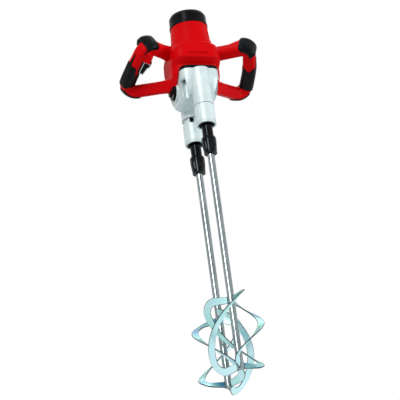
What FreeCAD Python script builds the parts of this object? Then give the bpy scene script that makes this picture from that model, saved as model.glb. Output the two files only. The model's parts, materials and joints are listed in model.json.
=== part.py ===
import FreeCAD
import Part
import math
import os

# Twin-spindle mixing drill. Millimetres, +X to the operator's left hand, +Y towards the operator,
# +Z up along the spindles. The origin lies midway between the two spindle necks, in the plane of
# their lower rims.

os.makedirs("parts", exist_ok=True)

vec = FreeCAD.Vector
right = vec(1, 0, 0)
back = vec(0, 1, 0)
up = vec(0, 0, 1)

# Fits and walls
run_gap = 0.05
slide_gap = 0.06
free_gap = 0.4
pocket_gap = 1.2
moulded_wall = 3.2
shell_wall = 2.8
part_gap = 0.1

# Spindle layout: four equal gears in line join the two spindles
spindle_spacing = 104.0
line_teeth = 16
line_module = spindle_spacing / (3 * line_teeth)
line_step = line_module * line_teeth
front_y = -spindle_spacing / 2
rear_y = spindle_spacing / 2
motor_y = front_y + line_step
idler_y = rear_y - line_step

# Levels above the neck rims, each counted from the one below it
neck_length = 53.0
spigot_show = 14.0
boss_show = 17.0
casting_height = 68.0
flange_height = 24.0
cover_height = 68.0
yoke_rise = 22.0
motor_length = 43.0
cap_height = 34.0
rear_boss_level = neck_length + spigot_show
casting_level = rear_boss_level + boss_show
casting_top = casting_level + casting_height
flange_level = casting_top - flange_height
cover_top = casting_top + cover_height
yoke_top = cover_top + yoke_rise
motor_top = yoke_top + motor_length
cap_top = motor_top + cap_height
line_gear_rise = 16.0
line_gear_level = casting_level + line_gear_rise

# Necks, seals and bearings
neck_radius = 24.3
neck_bore = 20.0
rim_height = 4.0
rim_chamfer = 0.8
rim_groove = 0.9
rim_groove_width = 1.8
spigot_length = 17.0
spigot_bore = 14.6
seal_level = 3.0
seal_height = 6.0
bearing_width = 14.0
bearing_groove = 0.8
top_bearing_radius = 15.0
top_bearing_width = 9.0

# Spindles and quick couplings
spindle_radius = 13.5
seat_radius = 12.5
stem_radius = 10.0
spindle_shoulder = seal_level + seal_height + run_gap
socket_radius = 14.2
socket_bottom = 77.0
sleeve_length = 42.0
sleeve_radius = 18.3
sleeve_chamfer = 4.0
sleeve_edge = 1.2
sleeve_groove_depth = 0.9
sleeve_groove_width = 3.0
sleeve_groove_drop = 9.0
spring_chamber = 16.4
spring_length = 15.0
ring_width = 1.5
ring_lip = 1.9
ball_radius = 2.8
ball_count = 3
ball_rise = 11.0
rod_seat_depth = 31.0

# Stirrers
rod_radius = 8.8
rod_end = 662.0
rod_chamfer = 1.5
stirrer_radius = 72.0
blade_width = 17.0
blade_thickness = 3.0
blade_height = 193.0
blade_twist = 178.0
blade_corner = 25.0
blade_count = 3
front_blade_angle = -66.0
blade_steps = 9
corner_steps = 5
arm_steps = 4
blade_weld = 0.6

# Gear train
countershaft_angle = 143.0
first_module = 1.25
pinion_teeth = 8
input_teeth = 40
low_pinion_teeth = 12
low_gear_teeth = 28
high_pinion_teeth = 17
high_gear_teeth = 23
line_gear_width = 14.0
speed_gear_width = 10.0
input_gear_width = 8.0
high_gear_rise = 6.0
low_gear_rise = 32.0
input_gear_rise = 46.0
high_gear_level = casting_top + high_gear_rise
low_gear_level = casting_top + low_gear_rise
input_gear_level = casting_top + input_gear_rise
pressure_angle = 25.0
addendum_share = 0.8
dedendum_share = 1.05
backlash_share = 0.12
flank_shares = [0.0, 0.35, 0.7, 1.0]
countershaft_radius = 6.0
countershaft_seat = 8.0
output_radius = 8.0
output_seat = 12.0
output_tail = 1.0
output_bottom = line_gear_level - output_seat
output_top = low_gear_level + speed_gear_width + output_tail
idler_pin_radius = 6.0
idler_pin_top = line_gear_level + line_gear_width + output_seat

# Speed selector
knob_y = 6.0
knob_drop = 30.5
knob_z = casting_top - knob_drop
knob_radius = 21.0
knob_thickness = 10.0
knob_face_x = 61.0
knob_edge = 1.6
knob_bar_width = 9.0
knob_bar_height = 3.5
knob_notch_gap = 1.2
knob_boss_radius = 24.5
knob_boss_x = 50.0
selector_radius = 6.0
crank_radius = 5.1
crank_pin_radius = 2.5
crank_angle = 45.0
crank_disc_radius = 9.0
crank_disc_x = 38.0
crank_disc_width = 4.0
post_x = 30.0
post_width = 6.0
post_near_y = 8.0
post_far_y = 24.0
post_split_y = 17.0
post_drop = 40.0
jog_drop = 2.0
jog_height = 6.0
post_low_z = casting_top - post_drop
jog_low_z = casting_top - jog_drop
jog_high_z = jog_low_z + jog_height
fork_thickness = 3.0
fork_half_width = 17.0
fork_front_reach = 3.0
dog_length = 8.0
dog_radius = 15.0
dog_groove = 12.0
dog_gap = 0.4

# Gear housing casting
casting_left = 46.0
casting_right = 42.0
casting_front = 44.0
casting_rear = 46.0
casting_round = 16.0
floor_round = 12.0
flange_half_x = 48.0
flange_front = 66.0
flange_rear = 70.0
flange_round = 20.0
flange_edge = 3.0
screw_x = 36.0
screw_y = 40.0
screw_channel = 6.5
screw_grip = 16.0
screw_seat = casting_top - screw_grip
screw_head_radius = 4.8
screw_head_height = 6.0
screw_shank_radius = 2.5
screw_length = 22.0
screw_socket_share = 0.5
cover_wall = 3.0
cover_round = 14.0
cover_roof = 12.0
neck_screw_angle = 250.0
neck_screw_level = neck_length + spigot_show / 2
neck_screw_radius = 5.4
neck_screw_height = 4.5
neck_screw_depth = 5.0

# Yoke, as rounded outlines from bottom to top: rise above the casting, half width, front, rear, corner
collar_half = 50.0
collar_round = 49.0
cheek_outlines = [
    (-26.0, 57.5, -20.0, 44.0, 18.0),
    (-13.0, 60.0, -36.0, 52.0, 24.0),
    (-2.0, 61.0, -48.0, 57.0, 28.0),
    (20.0, 61.5, -49.0, 58.0, 29.0),
]
brow_outline = (33.0, 62.0, -66.0, 58.0, 30.0)
bar_outlines = [
    brow_outline,
    (52.0, 62.5, -67.5, 54.0, 31.0),
    (72.0, 57.5, -67.5, 42.0, 40.0),
    (yoke_top - casting_top, collar_half, motor_y - collar_half, motor_y + collar_half, collar_round),
]
arch_gap = 2.6
arch_lift = 2.0
arch_round = 6.0
arm_length = 30.0
arm_flare_share = 1.24
arm_spigot = 14.0
panel_half = 30.0
panel_depth = 1.4
panel_rise = 36.0
panel_height = 17.0
vent_count = 9
vent_pitch = 6.2
vent_width = 3.2
vent_height = 8.5
vent_depth = 30.0

# Handle loop of the +X side: corner points from the upper arm to the lower arm, rise above the casting
loop_table = [
    (54.0, -4.0, 70.0),
    (133.0, -64.0, 61.0),
    (148.0, -1.0, 33.0),
    (156.0, 86.0, 7.0),
    (55.0, 15.0, -9.0),
]
loop_points = [vec(x, y, casting_top + rise) for x, y, rise in loop_table]
loop_radii = [17.2, 150.0, 20.0]
loop_half_width = 15.6
loop_half_height = 15.0
section_round = 9.0

# Trims on the handle loops
bumper_thickness = 3.0
bumper_horn = 13.0
bumper_reach = 1.0
bumper_lead = 6.0
bumper_tail = 1.0
bumper_bevel = 9.0
ramp_length = 26.0
ramp_rise = 9.0
pad_thickness = 2.6
pad_reach = 6.0
grip_thickness = 1.8
grip_lead = 10.0
tongue_half = 11.0
tongue_length = 17.0
strip_half = 6.0
trim_gap = 0.3
boss_radius = 4.6
boss_hole = 1.7
loop_screw_head = 3.4
loop_screw_recess = 3.0

# Trigger and switch
trigger_length = 36.0
trigger_half_width = 9.0
trigger_reach = 19.0
trigger_hook = 3.5
trigger_lip_share = 0.2
trigger_nose_share = 0.5
trigger_tilt = -44.0
trigger_depth = 7.0
trigger_travel = 6.0
trigger_round = 2.5
trigger_gap = 0.5
hood_length = 30.0
hood_reach = 15.0
hood_slope_share = 0.62
hood_round = 3.0
switch_length = 40.0
switch_half_height = 7.5
switch_thickness = 9.5

# Motor
motor_base_radius = 48.5
motor_top_radius = 45.6
tube_wall = 3.2
cap_radius = 45.6
cap_wall = 3.0
cap_chamfer = 3.5
cap_chamfer_height = 7.0
cap_slot_count = 24
cap_slot_width = 4.0
cap_slot_length = 22.0
cap_slot_start = 16.0
bridge_height = 11.0
bridge_hole = 9.0
bridge_hole_count = 4
shaft_radius = 5.0
shaft_tail = 1.0
shaft_bottom = input_gear_level - shaft_tail
bearing_radius = 13.0
low_bearing_width = 7.0
core_radius = 24.4
core_lift = 10.0
core_drop = 4.0
core_bottom = yoke_top + core_lift
core_top = motor_top - core_drop
core_slots = 12
core_slot_width = 3.4
core_slot_depth = 9.0
winding_radius = 19.0
winding_length = 5.0
stack_radius = motor_top_radius - tube_wall
stack_bore = 25.0
stack_window = 34.0
window_share = 0.3333
coil_length = 4.0
coil_gap = 0.5
commutator_radius = 12.0
commutator_lift = 2.5
commutator_level = motor_top + commutator_lift
commutator_length = 11.0
fan_lift = 1.0
fan_level = yoke_top + fan_lift
fan_height = 4.5
fan_radius = 37.0
fan_hub = 10.0
fan_blades = 9
fan_blade_thickness = 1.6
fan_disc = 1.5
brush_width = 5.0
brush_height = 8.0
brush_length = 14.0
holder_wall = 1.6
holder_length = 18.0
brush_mid = commutator_level + commutator_length / 2
bridge_level = brush_mid + brush_height / 2 + holder_wall


def save(name, shape):
    shape.exportStep("parts/" + name + ".step")


def at(x, y, z):
    return vec(x, y, z)


def cyl(radius, height, base, axis=up):
    return Part.makeCylinder(radius, height, base, axis)


def ring(outer, inner, height, base, axis=up):
    return cyl(outer, height, base, axis).cut(cyl(inner, height, base, axis))


def block(low, high):
    size = high - low
    return Part.makeBox(size.x, size.y, size.z, low)


def fuse(shapes):
    joined = shapes[0]
    if len(shapes) > 1:
        joined = shapes[0].multiFuse(shapes[1:])
    return joined.removeSplitter()


def group(shapes):
    return Part.makeCompound(shapes)


def mirrored(shape):
    return shape.mirror(vec(0, 0, 0), right)


def turned(profile, x, y):
    # A profile of (radius, height) points turned about the vertical axis at x, y.
    points = [at(x + r, y, z) for r, z in profile]
    face = Part.Face(Part.makePolygon(points + points[:1]))
    return face.revolve(at(x, y, 0), up, 360)


def rounded_wire(half_x, front, rear, radius, z):
    # A level rectangle with four rounded corners.
    spots = [(half_x, rear, 0), (-half_x, rear, 90), (-half_x, front, 180), (half_x, front, 270)]
    edges = []
    last = None
    first = None
    for x, y, start in spots:
        cx = x - math.copysign(radius, x)
        cy = y - radius if y == rear else y + radius
        arc = []
        for turn in (0, 45, 90):
            angle = math.radians(start + turn)
            arc.append(at(cx + radius * math.cos(angle), cy + radius * math.sin(angle), z))
        if last is None:
            first = arc[0]
        else:
            edges.append(Part.makeLine(last, arc[0]))
        edges.append(Part.Arc(*arc).toShape())
        last = arc[2]
    edges.append(Part.makeLine(last, first))
    return Part.Wire(edges)


def rounded_block(left, right_x, front, rear, radius, low, high):
    box = block(at(left, front, low), at(right_x, rear, high))
    corners = [e for e in box.Edges if abs(e.tangentAt(e.FirstParameter).z) > 0.5]
    return box.makeFillet(radius, corners)


def gear(teeth, module, width, x, y, z, phase):
    # Spur gear with involute flanks; phase is the angle of one tooth in degrees.
    pitch = module * teeth / 2
    pressure = math.radians(pressure_angle)
    base = pitch * math.cos(pressure)
    tip = pitch + addendum_share * module
    root = pitch - dedendum_share * module
    half_pitch = (math.pi / 2 - backlash_share) * module / (2 * pitch)
    start = max(base, root)
    flank = [root] if root < base else []
    flank += [start + (tip - start) * share for share in flank_shares]
    half_angles = []
    for radius in flank:
        lean = math.acos(min(1, base / radius))
        half_angles.append(half_pitch + math.tan(pressure) - pressure - math.tan(lean) + lean)
    outline = []
    for tooth in range(teeth):
        middle = math.radians(phase) + 2 * math.pi * tooth / teeth
        rising = [(r, middle - a) for r, a in zip(flank, half_angles)]
        falling = [(r, middle + a) for r, a in zip(flank, half_angles)]
        for radius, angle in rising + falling[::-1]:
            outline.append(at(x + radius * math.cos(angle), y + radius * math.sin(angle), z))
    face = Part.Face(Part.makePolygon(outline + outline[:1]))
    return face.extrude(up * width)


def mating_phase(phase, teeth, mate_teeth, heading):
    # Phase of the gear that lies in the direction of heading and meshes with the first.
    offset = (phase - heading) * teeth / mate_teeth
    return heading + 180 + 180 / mate_teeth - offset


def gear_tip(teeth, module):
    return module * teeth / 2 + addendum_share * module


# Necks, seals, bearings, spindles, couplings and rods, one set for each spindle

def neck(y):
    outline = [
        (neck_bore, 0), (neck_radius - rim_chamfer, 0), (neck_radius, rim_chamfer),
        (neck_radius, rim_height), (neck_radius - rim_groove, rim_height),
        (neck_radius - rim_groove, rim_height + rim_groove_width),
        (neck_radius, rim_height + rim_groove_width), (neck_radius, neck_length - rim_chamfer),
        (neck_radius - rim_chamfer, neck_length), (neck_bore, neck_length),
    ]
    return turned(outline, 0, y)


def spindle(y):
    seat_top = neck_length - spigot_length + bearing_groove
    top = line_gear_level + line_gear_width + pocket_gap + top_bearing_width
    socket_top = socket_bottom - sleeve_length
    outline = [
        (0, -socket_bottom + rod_seat_depth), (rod_radius + run_gap, -socket_bottom + rod_seat_depth),
        (rod_radius + run_gap, -socket_bottom), (socket_radius, -socket_bottom),
        (socket_radius, -socket_top - ring_width), (spindle_radius, -socket_top),
        (spindle_radius, spindle_shoulder), (seat_radius, spindle_shoulder),
        (seat_radius, seat_top), (stem_radius, seat_top), (stem_radius, top), (0, top),
    ]
    body = turned(outline, 0, y)
    holes = []
    for index in range(ball_count):
        angle = math.radians(360 * index / ball_count)
        heading = vec(math.cos(angle), math.sin(angle), 0)
        holes.append(cyl(ball_radius + run_gap, socket_radius, at(0, y, ball_rise - socket_bottom),
                         heading))
    return body.cut(fuse(holes))


def locking_balls(y):
    reach = socket_radius - ball_radius
    balls = []
    for index in range(ball_count):
        angle = math.radians(360 * index / ball_count)
        spot = at(reach * math.cos(angle), y + reach * math.sin(angle), ball_rise - socket_bottom)
        balls.append(Part.makeSphere(ball_radius, spot))
    return group(balls)


def coupling_sleeve(y):
    low = -socket_bottom
    high = low + sleeve_length
    chamber = high - spring_length - ring_width
    groove_top = high - sleeve_groove_drop
    groove_low = groove_top - sleeve_groove_width
    groove = sleeve_radius - sleeve_groove_depth
    outline = [
        (socket_radius + slide_gap, low), (sleeve_radius - sleeve_edge, low),
        (sleeve_radius, low + sleeve_edge), (sleeve_radius, groove_low),
        (groove, groove_low + sleeve_groove_depth), (groove, groove_top - sleeve_groove_depth),
        (sleeve_radius, groove_top), (sleeve_radius, high - sleeve_chamfer),
        (spring_chamber + sleeve_edge / 2, high), (spring_chamber, high),
        (spring_chamber, chamber), (socket_radius + slide_gap, chamber),
    ]
    return turned(outline, 0, y)


def coupling_rings(y):
    low = ring(socket_radius + ring_lip, socket_radius - slide_gap, ring_width,
               at(0, y, -socket_bottom - ring_width))
    collar = cyl(socket_radius, ring_width, at(0, y, -socket_bottom - ring_width))
    low = low.fuse(collar.cut(cyl(rod_radius + run_gap, ring_width,
                                  at(0, y, -socket_bottom - ring_width))))
    high_level = sleeve_length - socket_bottom - 2 * ring_width
    high = ring(socket_radius + ring_lip, socket_radius, ring_width, at(0, y, high_level))
    return group([low.removeSplitter(), high])


def rod(y):
    top = rod_seat_depth - socket_bottom
    groove_mid = ball_rise - socket_bottom
    groove = socket_radius - 2 * ball_radius - run_gap
    outline = [
        (0, -rod_end), (rod_radius - rod_chamfer, -rod_end), (rod_radius, rod_chamfer - rod_end),
        (rod_radius, groove_mid - ball_radius), (groove, groove_mid - ball_radius),
        (groove, groove_mid + ball_radius), (rod_radius, groove_mid + ball_radius),
        (rod_radius, top - rod_chamfer), (rod_radius - rod_chamfer, top), (0, top),
    ]
    return turned(outline, 0, y)


def blade_path():
    # Radius and height of the middle line of one blade: out along the lower arm, round a corner,
    # up the ribbon, round the upper corner and back in to the rod.
    inner = rod_radius - blade_weld
    outer = stirrer_radius - blade_width / 2
    low = blade_width / 2
    high = blade_height - blade_width / 2
    arm_end = outer - blade_corner
    points = []
    for step in range(arm_steps):
        points.append((inner + (arm_end - inner) * step / arm_steps, low, 0))
    for step in range(corner_steps + 1):
        angle = math.pi / 2 * step / corner_steps
        points.append((outer - blade_corner + blade_corner * math.sin(angle),
                       low + blade_corner - blade_corner * math.cos(angle), angle))
    for step in range(1, blade_steps):
        rise = (high - low - 2 * blade_corner) * step / blade_steps
        points.append((outer, low + blade_corner + rise, math.pi / 2))
    for step in range(corner_steps + 1):
        angle = math.pi / 2 * step / corner_steps
        points.append((outer - blade_corner + blade_corner * math.cos(angle),
                       high - blade_corner + blade_corner * math.sin(angle), math.pi / 2 + angle))
    for step in range(1, arm_steps + 1):
        points.append((arm_end + (inner - arm_end) * step / arm_steps, high, math.pi))
    return points


def blade(y, top_angle, hand):
    # The strip lies on a helicoid: every point of it at one height stands at one angle.
    low = -rod_end
    twist = hand * math.radians(blade_twist) / blade_height
    sections = []
    for radius, rise, slope in blade_path():
        edges = []
        for across in (-1, 0, 1):
            r = radius + across * blade_width / 2 * math.sin(slope)
            h = rise - across * blade_width / 2 * math.cos(slope)
            angle = math.radians(top_angle) + twist * (h - blade_height)
            spoke = vec(math.cos(angle), math.sin(angle), 0)
            edges.append(at(0, y, low + h) + spoke * r)
            if across == 0:
                along = vec(-math.sin(angle), math.cos(angle), 0)
                normal = (along - up * (r * twist)).normalize()
        half = normal * (blade_thickness / 2)
        corners = [edges[0] + half, edges[2] + half, edges[2] - half, edges[0] - half]
        sections.append(Part.makePolygon(corners + corners[:1]))
    return Part.makeLoft(sections, True, False)


def blades(y, hand):
    shapes = []
    core = cyl(rod_radius, rod_end, at(0, y, -rod_end))
    for index in range(blade_count):
        angle = front_blade_angle if hand > 0 else -front_blade_angle + 180 / blade_count
        shapes.append(blade(y, angle + 360 * index / blade_count, hand).cut(core))
    return group(shapes)


def spindle_bearings(y):
    low_level = spindle_shoulder
    high_level = line_gear_level + line_gear_width + pocket_gap
    low = ring(neck_bore, seat_radius + run_gap, bearing_width, at(0, y, low_level))
    high = ring(top_bearing_radius, stem_radius + run_gap, top_bearing_width, at(0, y, high_level))
    groove_low = ring(neck_bore - 2 * bearing_groove, seat_radius + 2 * bearing_groove,
                      bearing_groove, at(0, y, low_level))
    return [low.cut(groove_low), high]


def seal(y):
    body = ring(neck_bore, spindle_radius + run_gap, seal_height, at(0, y, seal_level))
    dish = ring(neck_bore - 2 * bearing_groove, spindle_radius + 2 * bearing_groove,
                bearing_groove, at(0, y, seal_level))
    return body.cut(dish)


line_low = line_gear_level - pocket_gap
line_high = line_gear_level + line_gear_width + pocket_gap
line_phases = [90.0]
for mesh in range(3):
    line_phases.append(mating_phase(line_phases[-1], line_teeth, line_teeth, 90.0))


def line_gear(y, phase, bore):
    body = gear(line_teeth, line_module, line_gear_width, 0, y, line_gear_level, phase)
    return body.cut(cyl(bore, line_gear_width, at(0, y, line_gear_level)))


for side, side_y, hand, phase in (("front", front_y, 1, line_phases[0]),
                                  ("rear", rear_y, -1, line_phases[3])):
    save(side + "_neck", neck(side_y))
    save(side + "_spindle", spindle(side_y))
    save(side + "_spindle_gear", line_gear(side_y, phase, stem_radius))
    save(side + "_coupling_sleeve", coupling_sleeve(side_y))
    save(side + "_coupling_rings", coupling_rings(side_y))
    save(side + "_locking_balls", locking_balls(side_y))
    save(side + "_stirrer_rod", rod(side_y))
    save(side + "_stirrer_blades", blades(side_y, hand))

save("shaft_seals", group([seal(front_y), seal(rear_y)]))
save("spindle_bearings", group(spindle_bearings(front_y) + spindle_bearings(rear_y)))

# Gear train between motor and spindles

gear_distance = first_module * (pinion_teeth + input_teeth) / 2
counter_x = gear_distance * math.cos(math.radians(countershaft_angle))
counter_y = motor_y + gear_distance * math.sin(math.radians(countershaft_angle))
speed_module = 2 * gear_distance / (low_pinion_teeth + low_gear_teeth)

output_bar = cyl(output_radius, output_top - output_bottom, at(0, motor_y, output_bottom))
save("output_shaft", fuse([output_bar, line_gear(motor_y, line_phases[1], output_radius)]))

idler_pin = cyl(idler_pin_radius, idler_pin_top - output_bottom, at(0, idler_y, output_bottom))
save("idler_pin", idler_pin)
save("idler_gear", line_gear(idler_y, line_phases[2], idler_pin_radius + run_gap))


def speed_gear(teeth, level):
    body = gear(teeth, speed_module, speed_gear_width, 0, motor_y, level, countershaft_angle)
    return body.cut(cyl(output_radius + run_gap, speed_gear_width, at(0, motor_y, level)))


save("low_speed_gear", speed_gear(low_gear_teeth, low_gear_level))
save("high_speed_gear", speed_gear(high_gear_teeth, high_gear_level))


def counter_gear(teeth, mate_teeth, module, width, level):
    phase = mating_phase(countershaft_angle, mate_teeth, teeth, countershaft_angle)
    return gear(teeth, module, width, counter_x, counter_y, level, phase)


counter_bottom = casting_top - countershaft_seat
counter_top = cover_top - cover_roof + countershaft_seat
counter_bar = cyl(countershaft_radius, counter_top - counter_bottom,
                  at(counter_x, counter_y, counter_bottom))
save("countershaft", fuse([
    counter_bar,
    counter_gear(low_pinion_teeth, low_gear_teeth, speed_module, speed_gear_width, low_gear_level),
    counter_gear(high_pinion_teeth, high_gear_teeth, speed_module, speed_gear_width, high_gear_level)]))
input_gear = counter_gear(input_teeth, pinion_teeth, first_module, input_gear_width, input_gear_level)
save("countershaft_input_gear", input_gear.cut(counter_bar))

# Dog sleeve on the output shaft, shift fork and selector

dog_top = low_gear_level - dog_gap
dog_low = dog_top - dog_length
dog_mid = (dog_top + dog_low) / 2
dog_body = ring(dog_radius, output_radius + slide_gap, dog_length, at(0, motor_y, dog_low))
dog_cut = ring(dog_radius, dog_groove, fork_thickness + 2 * free_gap,
               at(0, motor_y, dog_mid - fork_thickness / 2 - free_gap))
save("dog_sleeve", dog_body.cut(dog_cut))

crank = math.radians(crank_angle)
pin_y = knob_y + crank_radius * math.cos(crank)
pin_z = knob_z + crank_radius * math.sin(crank)
post_in = -post_x
post_out = -post_x - post_width
fork_low = dog_mid - fork_thickness / 2
fork_high = dog_mid + fork_thickness / 2
fork_plate = block(at(-fork_half_width, motor_y - fork_front_reach, fork_low),
                   at(fork_half_width, post_far_y, fork_high))
fork_notch = cyl(dog_groove + free_gap, fork_thickness, at(0, motor_y, fork_low))
fork_mouth = block(at(-dog_groove - free_gap, motor_y - fork_half_width, fork_low),
                   at(dog_groove + free_gap, motor_y, fork_high))
fork_arm = block(at(post_out, post_split_y, fork_low), at(fork_half_width, post_far_y, fork_high))
post_low = block(at(post_out, post_near_y, post_low_z), at(post_in, post_split_y, jog_high_z))
post_jog = block(at(post_out, post_near_y, jog_low_z), at(post_in, post_far_y, jog_high_z))
post_high = block(at(post_out, post_split_y, jog_low_z), at(post_in, post_far_y, fork_high))
fork = fuse([fork_plate.cut(fork_notch).cut(fork_mouth), fork_arm, post_low, post_jog, post_high])
crank_slot = block(at(post_out, post_near_y, pin_z - crank_pin_radius - free_gap),
                   at(post_in, post_split_y - crank_pin_radius / 2, pin_z + crank_pin_radius + free_gap))
save("shift_fork", fork.cut(crank_slot))

selector_shaft = cyl(selector_radius, knob_face_x - knob_thickness - crank_disc_x,
                     at(-knob_face_x + knob_thickness, knob_y, knob_z), right)
crank_disc = cyl(crank_disc_radius, crank_disc_width,
                 at(-crank_disc_x - crank_disc_width, knob_y, knob_z), right)
crank_pin = cyl(crank_pin_radius, crank_disc_x - post_x, at(-crank_disc_x, pin_y, pin_z), right)
save("selector_shaft", fuse([selector_shaft, crank_disc, crank_pin]))

knob_disc = cyl(knob_radius, knob_thickness - knob_bar_height,
                at(-knob_face_x + knob_bar_height, knob_y, knob_z),
                right)
knob_rim = [e for e in knob_disc.Edges if abs(e.BoundBox.XMin - e.BoundBox.XMax) < free_gap]
knob_disc = knob_disc.makeChamfer(knob_edge, [min(knob_rim, key=lambda e: e.BoundBox.XMin)])
knob_bar = block(at(-knob_face_x, knob_y - knob_radius + 2 * knob_edge, knob_z - knob_bar_width / 2),
                 at(-knob_face_x + knob_bar_height, knob_y + knob_radius - 2 * knob_edge,
                    knob_z + knob_bar_width / 2))
save("selector_knob", fuse([knob_disc, knob_bar]))

# Gear housing

front_boss = cyl(neck_radius, casting_top - neck_length, at(0, front_y, neck_length))
rear_boss = cyl(neck_radius, casting_top - rear_boss_level, at(0, rear_y, rear_boss_level))
front_spigot = cyl(neck_bore, spigot_length, at(0, front_y, neck_length - spigot_length))
rear_spigot = cyl(neck_bore, spigot_length + rear_boss_level - neck_length,
                  at(0, rear_y, neck_length - spigot_length))
casting = rounded_block(-casting_left, casting_right, -casting_front, casting_rear, casting_round,
                        casting_level, casting_top)
floor_edges = [e for e in casting.Edges if abs(e.BoundBox.ZMax - casting_level) < free_gap]
casting = casting.makeFillet(floor_round, floor_edges)
flange = rounded_block(-flange_half_x, flange_half_x, -flange_front, flange_rear, flange_round,
                       flange_level, casting_top)
flange_edges = [e for e in flange.Edges if abs(e.BoundBox.ZMax - flange_level) < free_gap]
flange = flange.makeChamfer(flange_edge, flange_edges)
knob_boss = cyl(knob_boss_radius, knob_boss_x, at(-knob_boss_x, knob_y, knob_z), right)
housing = fuse([front_boss, rear_boss, front_spigot, rear_spigot, casting, flange, knob_boss])

line_pocket = gear_tip(line_teeth, line_module) + pocket_gap
housing_cuts = []
for y in (front_y, motor_y, idler_y, rear_y):
    housing_cuts.append(cyl(line_pocket, line_high - line_low, at(0, y, line_low)))
for y in (front_y, rear_y):
    housing_cuts.append(cyl(spigot_bore, line_low - neck_length + spigot_length,
                            at(0, y, neck_length - spigot_length)))
    housing_cuts.append(cyl(top_bearing_radius, top_bearing_width, at(0, y, line_high)))
housing_cuts.append(cyl(output_radius + run_gap, casting_top - output_bottom,
                        at(0, motor_y, output_bottom)))
housing_cuts.append(cyl(idler_pin_radius, idler_pin_top - output_bottom, at(0, idler_y, output_bottom)))
housing_cuts.append(cyl(countershaft_radius + run_gap, countershaft_seat,
                        at(counter_x, counter_y, counter_bottom)))
housing_cuts.append(cyl(selector_radius + run_gap, knob_boss_x,
                        at(-knob_boss_x - knob_thickness, knob_y, knob_z), right))
housing_cuts.append(cyl(crank_disc_radius + free_gap,
                        crank_disc_width + crank_disc_x - post_x - post_width + free_gap,
                        at(-crank_disc_x - crank_disc_width - free_gap, knob_y, knob_z), right))
fork_drop = 2 * crank_radius * math.sin(crank)
housing_cuts.append(block(at(post_out - pocket_gap, post_near_y - crank_disc_radius,
                             post_low_z - fork_drop - pocket_gap),
                          at(post_in + pocket_gap, post_split_y + pocket_gap, casting_top)))
housing_cuts.append(block(at(post_out - pocket_gap, post_near_y - pocket_gap,
                             jog_low_z - fork_drop - pocket_gap),
                          at(post_in + pocket_gap, post_far_y + pocket_gap, casting_top)))
screw_spots = [(x, y) for x in (-screw_x, screw_x) for y in (-screw_y, screw_y)]
for x, y in screw_spots:
    housing_cuts.append(cyl(screw_channel, screw_seat, at(x, y, 0)))
    housing_cuts.append(cyl(screw_shank_radius, casting_top - screw_seat, at(x, y, screw_seat)))
neck_heading = vec(math.cos(math.radians(neck_screw_angle)), math.sin(math.radians(neck_screw_angle)), 0)
neck_spot = at(0, rear_y, neck_screw_level) + neck_heading * (neck_bore - neck_screw_depth)
housing_cuts.append(cyl(screw_shank_radius, neck_bore, neck_spot, neck_heading))
housing = housing.cut(housing_cuts[0].multiFuse(housing_cuts[1:])).removeSplitter()
save("gear_housing", housing)


def socket_screw(head_radius, head_height, shank_radius, length, spot, heading):
    # Socket-head screw whose head seat is at spot; the head stands against the heading.
    head = cyl(head_radius, head_height, spot, heading * -1)
    socket_depth = head_height * screw_socket_share
    socket = cyl(head_radius * screw_socket_share, socket_depth, spot - heading * head_height, heading)
    return fuse([head.cut(socket), cyl(shank_radius, length, spot, heading)])


save("housing_screws", group([
    socket_screw(screw_head_radius, screw_head_height, screw_shank_radius, screw_length,
                 at(x, y, screw_seat), up)
    for x, y in screw_spots]))
save("neck_screw", socket_screw(neck_screw_radius, neck_screw_height, screw_shank_radius,
                                neck_screw_depth,
                                at(0, rear_y, neck_screw_level) + neck_heading * neck_bore,
                                neck_heading * -1))

# Gear cover with the lower motor bearing

cover_left = counter_x - gear_tip(input_teeth, first_module) - pocket_gap
cover_right = gear_tip(low_gear_teeth, speed_module) + pocket_gap
cover_front = motor_y - gear_tip(low_gear_teeth, speed_module) - pocket_gap
cover_rear = counter_y + gear_tip(input_teeth, first_module) + pocket_gap
cover = rounded_block(cover_left - cover_wall, cover_right + cover_wall, cover_front - cover_wall,
                      cover_rear + cover_wall, cover_round, casting_top, cover_top)
pocket_top = cover_top - cover_roof
cover_cuts = [
    rounded_block(cover_left, cover_right, cover_front, cover_rear, cover_round - cover_wall,
                  casting_top, pocket_top),
    cyl(countershaft_radius + run_gap, countershaft_seat, at(counter_x, counter_y, pocket_top)),
    cyl(shaft_radius + pocket_gap, cover_roof, at(0, motor_y, pocket_top)),
    cyl(bearing_radius, low_bearing_width, at(0, motor_y, cover_top - low_bearing_width)),
]
lug_radius = screw_shank_radius + cover_wall
lugs = []
for x, y in screw_spots:
    lugs.append(cyl(lug_radius, screw_length, at(x, y, casting_top)))
    cover_cuts.append(cyl(screw_shank_radius, screw_seat + screw_length - casting_top,
                          at(x, y, casting_top)))
foot = rounded_block(-screw_x - lug_radius, screw_x + lug_radius, -screw_y - lug_radius,
                     screw_y + lug_radius,
                     lug_radius - part_gap, casting_top, casting_top + cover_wall)
cover = fuse([cover, foot] + lugs)
save("gear_cover", cover.cut(cover_cuts[0].multiFuse(cover_cuts[1:])).removeSplitter())

# Motor, from the pinion up

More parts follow.
